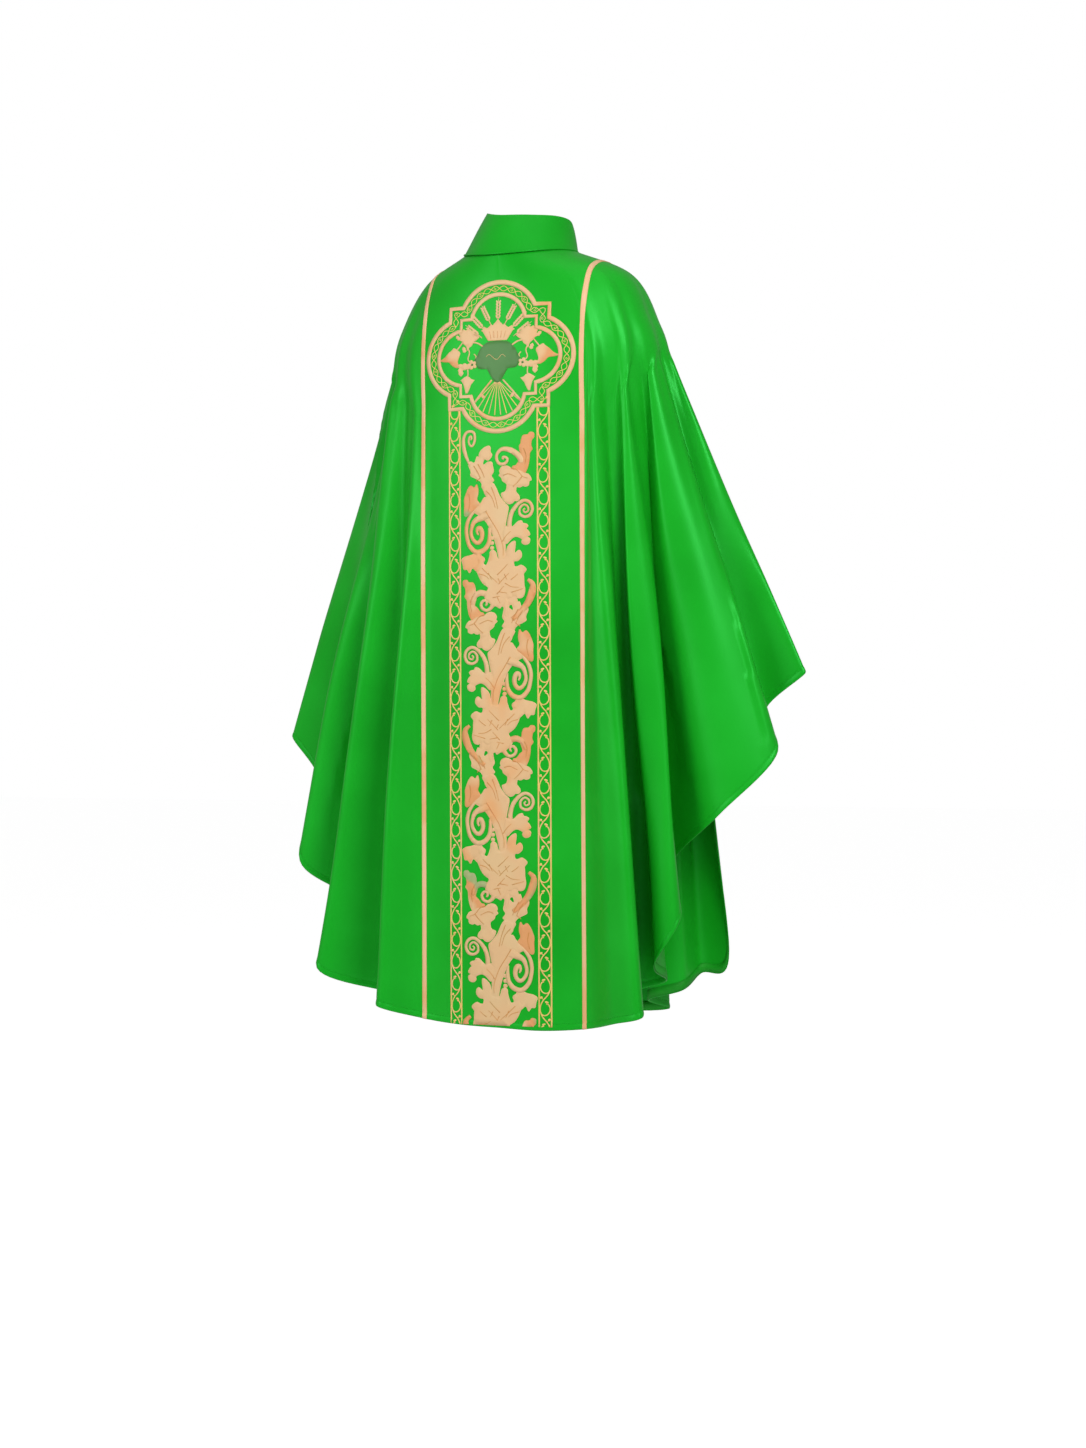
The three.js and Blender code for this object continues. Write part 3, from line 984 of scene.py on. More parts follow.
@dataclass
class Medallion:
    """A barbed quatrefoil: a double outline with a vine between, and sheaf, crown and leaves inside.

    Sizes are in millimetres, before it is stretched to its width.
    """

    square: float = 71.5
    lobe: float = 56.2
    centre: float = 49.0
    stretch: float = 1.08
    rim: float = 7.6
    inner_rim: float = 6.6
    step_in: float = 17.2

    def outline(self, inset: float) -> list:
        """The quatrefoil's outline, drawn in from its outer line."""
        square = self.square - inset
        lobe = self.lobe - inset
        half = math.degrees(math.acos((square - self.centre) / lobe))
        out = []
        for quarter in range(4):
            middle = 90 * quarter
            x = self.centre * math.cos(math.radians(middle))
            z = self.centre * math.sin(math.radians(middle))
            out += arc(x, z, lobe, middle - half, middle + half, 28)
            corner = math.radians(middle + 45)
            out.append((square * math.sqrt(2) * math.cos(corner), square * math.sqrt(2) * math.sin(corner)))
        return out

    def drawn(self) -> Needlework:
        """Draw the whole medallion.

        Returns:
            The needlework, with its middle at the origin.
        """
        work = Needlework()
        work.line(self.outline(0), self.rim, closed=True)
        work.line(self.outline(self.step_in), self.inner_rim, closed=True)
        self.vine(work)
        self.sheaf(work)
        self.crown(work)
        self.boss(work)
        for hand in (-1, 1):
            self.branches(work, hand)
        for thread, drawn in work.ribbons.items():
            work.ribbons[thread] = [
                ([(x * self.stretch, z) for x, z in points], widths, closed, lift)
                for points, widths, closed, lift in drawn
            ]
        work.fills = [([(x * self.stretch, z) for x, z in outline], thread, lift)
                      for outline, thread, lift in work.fills]
        return work

    def vine(self, work: Needlework) -> None:
        """Draw the two crossing stems between the outlines, with curls."""
        middle = self.outline(self.step_in / 2)
        path = np.array(middle + [middle[0]])
        lengths = np.concatenate([[0], np.cumsum(np.linalg.norm(np.diff(path, axis=0), axis=1))])
        total = lengths[-1]
        waves = 26
        count = waves * 12
        places = np.linspace(0, total, count, endpoint=False)
        across = np.interp(places, lengths, path[:, 0])
        up = np.interp(places, lengths, path[:, 1])
        later, sooner = (places + 4) % total, (places - 4) % total
        ahead_x = np.interp(later, lengths, path[:, 0]) - np.interp(sooner, lengths, path[:, 0])
        ahead_z = np.interp(later, lengths, path[:, 1]) - np.interp(sooner, lengths, path[:, 1])
        size = np.hypot(ahead_x, ahead_z) + 1e-9
        side_x, side_z = -ahead_z / size, ahead_x / size
        for phase in (0.0, math.pi):
            swing = 3.6 * np.sin(2 * math.pi * waves * places / total + phase)
            points = list(zip(across + side_x * swing, up + side_z * swing))
            work.line(points, 1.05, Thread.GOLD, closed=True)
        for index in range(0, count, 12):
            x, z = across[index + 3], up[index + 3]
            work.line(spiral(x, z, 2.4, index * 31.0, 1.0, 1 if index % 24 else -1), 0.8, Thread.GOLD)

    def sheaf(self, work: Needlework) -> None:
        """Draw seven ears over the crown and the stalks below."""
        ears = [(0, 55, 90, 25), (14, 53, 117 - 54, 21), (24, 43, 47, 21), (30, 33, 38, 19)]
        for x, z, turn, length in ears:
            for hand in ((1,) if x == 0 else (-1, 1)):
                heading = turn if hand == 1 else 180 - turn
                self.ear(work, hand * x, z, heading, length)
        for index in range(10):
            share = (index - 4.5) / 4.5
            foot = (share * 2.4, -34 - 1 * abs(share))
            angle = math.radians(-90 + share * 34)
            end = (share * 7 + 52 * math.sin(share * 0.62),
                   foot[1] - 49 * math.cos(share * 0.72) + 4 * abs(share))
            bend = ((foot[0] + end[0]) / 2 - share * 1.5 * math.cos(angle), (foot[1] + end[1]) / 2)
            points = smooth_line([foot, bend, end], 8)
            work.line(points, taper(len(points), 1.0, 1.6), Thread.PEACH if index % 2 else Thread.GOLD)
        for hand in (-1, 1):
            work.line([(hand * 8, -33), (hand * 21, -48), (hand * 33, -63)], [2.6, 3.0, 3.4])
            work.fill(leaf(hand * 19, -58, 9, 5, 90 - hand * 40, 2, 10))

    def ear(self, work: Needlework, x: float, z: float, turn: float, length: float) -> None:
        """Draw one ear of wheat from its foot."""
        along = (math.cos(math.radians(turn)), math.sin(math.radians(turn)))
        aside = (-along[1], along[0])
        foot = (x - 9 * along[0], z - 9 * along[1])
        tip = (x + (length + 4) * along[0], z + (length + 4) * along[1])
        work.line([foot, (x, z)], 1.5)
        work.line([(x + along[0] * length * 0.8, z + along[1] * length * 0.8), tip], [1.4, 0.6])
        rows = 6
        for row in range(rows):
            reach = length * (row + 0.3) / rows
            for hand in (-1, 1):
                cx = x + along[0] * reach + hand * aside[0] * 1.9
                cz = z + along[1] * reach + hand * aside[1] * 1.9
                tilt = turn + hand * 24
                work.fill(ellipse(cx, cz, 2.9, 1.35, tilt))

    def crown(self, work: Needlework) -> None:
        """Draw the crown that binds the sheaf."""
        right = [(13.5, 22.5), (17, 28), (21.5, 35.5), (24.5, 37.8), (22, 39), (21, 43.5), (18.2, 42.2),
                 (15.8, 40.6), (12.5, 42.5), (9.6, 46.2), (7.2, 44.2), (5.6, 46.6), (2.8, 49.4), (0, 53.5)]
        left = [(-x, z) for x, z in reversed(right[:-1])]
        work.fill(right + left)
        for index in range(5):
            x = (index - 2) * 6.2
            work.line([(x * 0.75, 26), (x * 0.95, 36)], [0.7, 0.5], Thread.ORANGE, lift=0.75)

    def boss(self, work: Needlework) -> None:
        """Draw the dark domed patch in the middle."""
        right = [(0, -37), (4.5, -35.5), (9, -28), (14.8, -17.5), (25, -16.6), (28.5, -15), (31.5, -8),
                 (34, -3.5), (31, 0), (28.5, 4.5), (25.5, 11), (20.5, 17), (14, 21), (0, 22.3)]
        left = [(-x, z) for x, z in reversed(right[1:-1])]
        work.fill(right + left, Thread.SHADOW)
        zigzag = [(-16, 0), (-11, 3), (-1, -4.5), (7, 2.5), (12, -1)]
        work.line(smooth_line(zigzag, 5), 0.6, Thread.GOLD, lift=0.7)

    def branches(self, work: Needlework, hand: int) -> None:
        """Draw the vine leaves, flowers and buds on one side."""
        def put(points: list) -> list:
            """Points on this side."""
            return [(hand * x, z) for x, z in points]

        work.line(put(smooth_line([(21, 15), (30, 20.5), (42, 22)], 8)), 2.6)
        work.fill(put(rounded_off([
            (36, 20), (32, 26), (27, 27), (28, 32), (33, 34), (35, 40), (39, 37), (43, 43), (47, 39),
            (51, 42), (53, 37), (58, 36), (55, 31), (57, 26), (52, 24), (50, 20), (46, 17), (44, 9),
            (41, 15), (38, 16)])))
        work.fill(put(leaf(28, 31, 10, 6, 15, 2, -30)))
        work.line(put(smooth_line([(27, 29), (33, 24), (40, 22.5)], 6)), 1.8)
        work.line(put(smooth_line([(50, 24), (55, 18), (60, 12), (66, 8)], 6)), 2.2)
        work.fill(put(leaf(56, 26, 9, 6, 60, 2, -30)))
        work.fill(put(rounded_off([
            (60, 13), (65, 16), (68, 12), (73, 9), (79, 2), (88, -1.8), (79, -4), (72, -4), (67, -10),
            (60, -14), (55, -12), (59, -6), (57, 1), (54, 8)])), Thread.ORANGE)
        work.line(put(smooth_line([(46, 18), (41, 8), (43, -2), (38, -8)], 7)), 2.0)
        work.fill(put(leaf(47, 8, 9, 6.5, 60, 2, 20)))
        for petal in range(5):
            x, z = 36.5 + 3.9 * math.cos(petal * 1.257), -10 + 3.9 * math.sin(petal * 1.257)
            work.fill(put(ellipse(x, z, 3.2, 2.5, petal * 72)))
        work.fill(put(ellipse(36.5, -10, 1.6, 1.6, 0)), Thread.SHADOW, lift=0.5)
        work.line(put(smooth_line([(33, -4), (31, 1), (34, 5)], 6)), 1.7)
        work.fill(put(leaf(38, -12, 22, 10, -4, 3, 20)))
        work.fill(put(leaf(55, -13, 13, 9, -105, 2, 20)))
        work.line(put(smooth_line([(44, -15), (43, -22), (44, -30)], 6)), 2.0)
        tulip = [(44, -50), (41, -44), (38.5, -38), (33, -31.5), (38, -30), (41, -27), (45, -25.5),
                 (49, -27.5), (54, -31), (50, -37), (48, -44), (47, -50)]
        work.fill(put(tulip))


def ellipse(x: float, z: float, long: float, short: float, turn: float, count: int = 12) -> list:
    """Points of an ellipse with its long half axis at an angle in degrees."""
    heading = math.radians(turn)
    out = []
    for index in range(count):
        angle = 2 * math.pi * index / count
        along, aside = long * math.cos(angle), short * math.sin(angle)
        out.append((x + along * math.cos(heading) - aside * math.sin(heading),
                    z + along * math.sin(heading) + aside * math.cos(heading)))
    return out


# One spray of the leaf scroll, in millimetres across and down from its top. Each shape is an outline.
SPRAY_LEAVES = {
    "hooked leaf": (Thread.PEACH, [
        (-26, 67), (-35, 62), (-44, 58), (-42, 52), (-47, 43), (-44, 37), (-36.5, 41), (-33, 30), (-30, 33),
        (-29, 25), (-22, 19), (-14, 16), (-11, 19), (-12, 25), (-8, 30), (-15, 38), (-21, 34), (-24, 41),
        (-22, 44), (-16, 39), (-9, 39), (-8, 46), (-6, 53), (-11, 59), (-5, 66), (-10, 68), (-13, 80),
        (-22, 80)]),
    "upright leaf": (Thread.ORANGE, [
        (38, 36), (34, 25), (33, 18), (36, 15), (36, 10), (39, 3), (47, 3), (49, -1), (56, 0), (56, 7),
        (52, 10), (51, 19), (54, 23), (49, 28), (49, 36), (47, 47), (43, 56), (36, 62), (26, 58), (22, 51),
        (23, 46), (28, 46), (33, 39)]),
    "shell leaf": (Thread.PEACH, [
        (22, 51), (18, 47), (12, 45), (5, 47), (2, 53), (4, 56), (1, 59), (6, 62), (7, 67), (14, 71),
        (14, 76), (12, 82), (4, 84), (8, 93), (16, 100), (22, 99), (26, 95), (30, 96), (34, 93), (33, 88),
        (28, 83), (28, 80), (29, 75), (34, 77), (39, 74), (42, 76), (48, 74), (48, 68), (52, 67), (51, 63),
        (47, 58), (43, 57), (33, 51)]),
    "bent leaf": (Thread.ORANGE, [
        (-43, 71), (-48, 77), (-51, 84), (-54, 92), (-53, 99), (-54, 113), (-51, 116), (-45, 113), (-38, 106),
        (-27, 99), (-34, 92), (-31, 84), (-31, 77), (-33, 69), (-37, 76)]),
    "trunk": (Thread.PEACH, [
        (-27, 72), (-22, 80), (-21, 84), (-17, 89), (-22, 89), (-26, 96), (-33, 103), (-40, 109), (-30, 114),
        (-20, 122), (-13, 132), (-7, 145), (-2, 160), (1, 175), (3, 188), (10, 188), (12, 160), (10, 147),
        (11, 131), (15, 114), (17, 103), (12, 99), (3, 89), (-1, 80), (-5, 72), (-10, 67), (-18, 70)]),
    "star leaf": (Thread.PEACH, [
        (-31, 166), (-44, 171), (-52, 172), (-59, 176), (-56, 183), (-55, 191), (-49, 190), (-45, 197),
        (-41, 187), (-33, 195), (-25, 186), (-25, 172)]),
    "broad leaf": (Thread.PEACH, [
        (-40, 188), (-33, 194), (-30, 202), (-24, 211), (-14, 217), (-20, 224), (-22, 232), (-8, 243),
        (-3, 243), (3, 247), (5, 243), (9, 244), (10, 258), (14, 258), (17, 244), (16, 239), (12, 231),
        (17, 234), (25, 229), (32, 233), (39, 231), (42, 222), (40, 212), (40, 203), (39, 198), (45, 192),
        (36, 185), (30, 188), (25, 188), (24, 180), (31, 180), (37, 174), (36, 167), (32, 164), (25, 171),
        (28, 151), (21, 153), (14, 160), (11, 176), (1, 178), (-2, 173), (-3, 167), (-8, 163), (-13, 166),
        (-13, 173), (-18, 186), (-24, 183), (-20, 176), (-27, 171), (-33, 175), (-31, 184)]),
    "ruffled leaf": (Thread.PEACH, [
        (12, 158), (21, 148), (28, 145), (38, 149), (36, 154), (41, 158), (48, 156), (50, 149), (44, 146),
        (50, 144), (47, 138), (43, 135), (47, 131), (44, 128), (38, 127), (37, 123), (31, 124), (22, 133),
        (11, 129), (6, 142)]),
}

# The spray's curls and stalks: places across and down with the width of the thread there.
SPRAY_CURLS = {
    "spiral": (Thread.PEACH, [
        (18, 136, 9), (18, 124, 8), (22, 111, 7), (31, 100, 6), (41, 95, 5.2), (50, 99, 5), (53, 108, 5),
        (49, 116, 5), (41, 118, 4.6), (34, 114, 4.2), (34, 106, 4), (40, 101, 3.4), (46, 104, 3.2),
        (46.5, 110, 3), (41.5, 112, 2.8), (39.5, 108.5, 2.6), (42, 106.5, 2.4)]),
    "crescent": (Thread.PEACH, [
        (-15, 113, 14), (-25, 117, 12), (-37, 123, 8), (-42, 134, 6), (-42, 143, 6), (-37, 151, 6),
        (-31, 153, 7), (-26, 148, 7), (-25, 140, 8), (-28, 133, 8), (-32, 133, 6), (-33, 138, 4),
        (-31, 142, 2.5)]),
    "outer crescent": (Thread.PEACH, [
        (-37, 108, 4), (-46, 119, 6), (-50, 132, 6.5), (-49, 145, 6.5), (-45, 157, 7), (-35, 166, 8),
        (-23, 164, 8), (-15, 155, 7.5), (-13, 144, 6.5), (-14, 132, 3)]),
    "small curl": (Thread.PEACH, [
        (-3, 238, 9), (-8, 241, 8), (-12, 246, 6), (-18, 249, 5), (-25, 246, 5), (-27, 240, 5),
        (-23, 235, 4.4), (-18.5, 236, 4), (-18, 240, 3.6), (-20, 242, 2.6)]),
    "branch": (Thread.ORANGE, [(-42, 240, 5), (-37, 229, 8), (-28, 224, 10), (-18, 226, 9)]),
    "stalk": (Thread.ORANGE, [
        (46, 206, 5), (53, 213, 9), (52, 225, 13), (45, 240, 11), (34, 252, 9), (22, 262, 7)]),
}

# Curls that only the topmost spray has.
FIRST_CURLS = {
    "top spiral": (Thread.PEACH, [
        (-44, 44, 2.5), (-51, 28, 6), (-54, 17, 6.5), (-54.5, 6, 5.5), (-51, -2, 4.5), (-45, -5, 4.2),
        (-38, -3, 4.4), (-36, 5, 4.4), (-38, 13, 4), (-42, 16, 3.4), (-46, 11, 3), (-45, 4, 3), (-42.5, 2, 3),
        (-41.5, 5, 3), (-43, 7, 2.4)]),
    "hook": (Thread.PEACH, [
        (36, 42, 8), (35, 36, 9.5), (29, 29, 9.5), (18, 23, 8.5), (7, 22, 6.5), (0, 27, 5.2), (-2, 34, 5),
        (1, 41, 5), (7, 43, 5), (13, 41, 4.6), (15, 36, 4.2), (11, 33, 4), (7.5, 34, 3.6), (9, 36.5, 2.8)]),
}

# Veins in a darker thread, over the leaves.
SPRAY_VEINS = [
    [(-38, 44), (-31, 54), (-27, 62)], [(-31, 42), (-25, 52), (-21, 61)], [(-34, 66), (-27, 61)],
    [(9, 59), (17, 57), (29, 62)], [(21, 49), (30, 52), (38, 61), (46, 64)], [(38, 61), (31, 69), (24, 75)],
    [(-18, 80), (-9, 90), (-4, 104)], [(-10, 75), (-4, 90), (0, 106)],
    [(-19, 109), (-9, 124), (-1, 136), (4, 147), (8, 160), (8, 172)], [(7, 152), (13, 144), (20, 138)],
    [(-1, 199), (8, 191), (15, 184)], [(1, 212), (9, 204), (17, 197)], [(-25, 189), (-13, 200), (-1, 210)],
    [(-30, 197), (-20, 200), (-14, 205)], [(-15, 196), (-10, 206)], [(11, 211), (21, 216), (32, 217)],
    [(20, 206), (26, 202), (31, 198)], [(10, 198), (14, 206)], [(-8, 231), (3, 229)], [(2, 223), (14, 225)],
    [(21, 224), (39, 219)], [(-1, 231), (3, 239)], [(-2, 226), (9, 215)], [(0, 204), (3, 210)],
    [(40, 22), (44, 32), (42, 44)], [(-46, 84), (-44, 96), (-47, 108)],
]


def rounded_off(outline: list, passes: int = 2) -> list:
    """Round an outline's corners by cutting them off twice over.

    Args:
        outline: its points.
        passes: how many times the corners are cut.

    Returns:
        The rounded outline.
    """
    for _ in range(passes):
        after = outline[1:] + outline[:1]
        outline = [
            (first[0] + (last[0] - first[0]) * share, first[1] + (last[1] - first[1]) * share)
            for first, last in zip(outline, after) for share in (0.22, 0.78)
        ]
    return outline


@dataclass
class ScrollField:
    """The leaf scroll of the centre column: one spray, repeated down it and mirrored each time.

    Sizes are in millimetres. The drawing's origin is the middle of the column's top.
    """

    length: float
    repeat: float = 206.0
    vein_width: float = 1.25
    rim_width: float = 1.0

    def drawn(self) -> Needlework:
        """Draw the column.

        Returns:
            The needlework.
        """
        work = Needlework()
        for index in range(math.ceil(self.length / self.repeat)):
            self.spray(work, index * self.repeat, -1 if index % 2 else 1, index == 0)
        return work

    def spray(self, work: Needlework, start: float, hand: int, first: bool) -> None:
        """Draw one spray.

        Args:
            work: the needlework to add to.
            start: how far down it starts.
            hand: 1, or -1 for a mirrored one.
            first: whether it is the topmost spray.
        """
        def put(points: list) -> list:
            """Points in this spray's place."""
            return [(hand * point[0], -start - point[1]) for point in points]

        for index, (thread, outline) in enumerate(SPRAY_LEAVES.values()):
            shape = put(rounded_off(outline))
            work.fill(shape, thread, lift=0.035 * index)
            rim = Thread.RIM if thread is Thread.PEACH else thread
            work.line(shape, self.rim_width, rim, closed=True, lift=0.25)
        curls = {**SPRAY_CURLS, **(FIRST_CURLS if first else {})}
        for thread, curl in curls.values():
            line = smooth_line(curl, 5)
            work.line(put(line), [point[2] for point in line], thread, lift=0.1)
        for row in range(3):
            work.fill(put(ellipse(-9.5, 147 + 7 * row, 3.4, 3.0, 0)), lift=0.05)
        for vein in SPRAY_VEINS:
            line = smooth_line(vein, 4)
            widths = taper(len(line), self.vein_width, 0.55 * self.vein_width)
            work.line(put(line), widths, Thread.VEIN, lift=0.78)


@dataclass
class VineBorder:
    """A narrow border: a running vine with a curl in every bay between two lines, in millimetres."""

    length: float
    width: float = 20.0
    line_width: float = 2.5
    half_period: float = 31.2
    start: float = 1.4
    vine_width: float = 1.9

    def drawn(self) -> Needlework:
        """Draw the border.

        Returns:
            The needlework, with its origin at the middle of its top.
        """
        work = Needlework()
        edge = self.width / 2 - self.line_width / 2
        for side in (-1, 1):
            steps = np.arange(-2, self.length + 8, 8.0)
            work.line([(side * edge, -step) for step in steps], self.line_width, Thread.GOLD)
        reach = edge - 1.4
        steps = np.arange(-2, self.length + 2, 2.0)
        turns = np.cos(math.pi * (steps - self.start) / self.half_period)
        across = reach * np.sign(turns) * np.abs(turns) ** 0.85
        work.line(list(zip(across, -steps)), self.vine_width, Thread.GOLD, lift=0.06)
        scale = self.width / 22.0
        for index in range(int(self.length / self.half_period) + 2):
            side = -1 if index % 2 else 1
            place = self.start + index * self.half_period
            self.curl(work, side * scale, place)
        return work

    def curl(self, work: Needlework, side: float, place: float) -> None:
        """Draw a bay's open curl with its bud, and the small bud across the vine.

        Args:
            work: the needlework to add to.
            side: 1 or -1 times the scale across.
            place: how far down the bay's middle is.
        """
        loop = [(7.2, 4.6), (5.6, 7.4), (1.4, 9.0), (-3.8, 7.4), (-7.3, 2.4), (-6.9, -3.2), (-4.6, -6.6),
                (-1.8, -7.4)]
        line = smooth_line([(side * x, -place - down) for x, down in loop], 4)
        work.line(line, self.vine_width, Thread.GOLD, lift=0.03)
        work.fill(ellipse(side * -2.4, -place + 9.8, 2.7, 1.5, side * 22), Thread.GOLD, lift=0.1)
        work.fill(ellipse(side * 6.2, -place + 16.2, 2.1, 1.7, 45), Thread.GOLD, lift=0.1)
        stem = [(side * 2.6, -place + 13.4), (side * 6.2, -place + 16.2), (side * 9.0, -place + 15.4)]
        work.line(stem, 1.1, Thread.GOLD, lift=0.02)


@dataclass
class Orphreys:
    """The medallion and the centre column of the back or the front."""

    finishes: Finishes
    cloth: float
    hem_clearance: float = 4 * MM

    def build(self, half: str, tree: BVHTree) -> None:
        """Build one side's medallion, field and borders.

        Args:
            half: back or front.
            tree: that side's cloth.
        """
        back = half == "back"
        low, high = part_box(f"{half}_medallion")
        middle = ((low[0] + high[0]) / 2, (low[2] + high[2]) / 2)
        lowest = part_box(f"{half}_orphrey_field")[0][2] + self.hem_clearance
        names = [f"{half}_medallion", f"{half}_orphrey_field"]
        work = Medallion().drawn()
        obj = work.laid(names[0], middle, back, tree, lowest, self.cloth, self.finishes)
        finish_piece(obj, [names[0]])
        top = low[2]
        length = (top - lowest) / MM
        work = ScrollField(length).drawn()
        obj = work.laid(names[1], (0.0, top), back, tree, lowest, self.cloth, self.finishes)
        finish_piece(obj, [names[1]])
        for label in ("left", "right"):
            name = f"{half}_orphrey_border_{label}"
            edge_low, edge_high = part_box(name)
            work = VineBorder((edge_high[2] - lowest) / MM, (edge_high[0] - edge_low[0]) / MM).drawn()
            across = (edge_low[0] + edge_high[0]) / 2
            obj = work.laid(name, (across, edge_high[2]), back, tree, lowest, self.cloth, self.finishes)
            finish_piece(obj, [name])


@dataclass
class Galloons:
    """The narrow bands that run from hem to hem over the shoulders."""

    panels: Panels
    finishes: Finishes
    margin: float = 1.0 * MM
    edge: float = 0.7 * MM
    low: float = 0.25 * MM
    high: float = 0.75 * MM

    def build(self) -> None:
        """Cut both bands from the fall of the cloth and raise them."""
        for label in ("left", "right"):
            name = f"galloon_{label}"
            box_low, box_high = (list(corner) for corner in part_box(name))
            box_low[0] += self.margin
            box_high[0] -= self.margin
            bm = bmesh.new()
            for side in Side:
                if side.label[1] != label:
                    continue
                quarter = self.panels.grid(side)
                scratch = bpy.data.meshes.new("scratch")
                quarter.to_mesh(scratch)
                quarter.free()
                bm.from_mesh(scratch)
                bpy.data.meshes.remove(scratch)
            bmesh.ops.remove_doubles(bm, verts=bm.verts, dist=1.2 * MM)
            cuts = [(box_low[0], -1), (box_high[0], 1), (box_low[0] + self.edge, 0),
                    (box_high[0] - self.edge, 0), ((box_low[0] + box_high[0]) / 2, 0)]
            for place, clear in cuts:
                geom = bm.verts[:] + bm.edges[:] + bm.faces[:]
                bmesh.ops.bisect_plane(bm, geom=geom, plane_co=(place, 0, 0), plane_no=(1, 0, 0),
                                       clear_inner=clear < 0, clear_outer=clear > 0)
            bmesh.ops.remove_doubles(bm, verts=bm.verts, dist=0.3 * MM)
            bmesh.ops.dissolve_degenerate(bm, dist=0.02 * MM, edges=bm.edges)
            for edge in bm.edges:
                edge.smooth = True
            bm.normal_update()
            centre = (box_low[0] + box_high[0]) / 2
            half = (box_high[0] - box_low[0]) / 2
            lifted = [(vert, vert.normal.copy()) for vert in bm.verts]
            for vert, normal in lifted:
                outer = abs(vert.co.x - centre) > half - self.edge * 0.5
                vert.co += normal * (self.panels.cloth + (self.low if outer else self.high))
            obj = object_from(bm, name, [self.finishes.galloon])
            solid = obj.modifiers.new("thickness", "SOLIDIFY")
            solid.thickness = 0.3 * MM
            solid.offset = -1.0
            finish_piece(obj, [name])


# ------------------------------------------------------------------------------------------------ collar


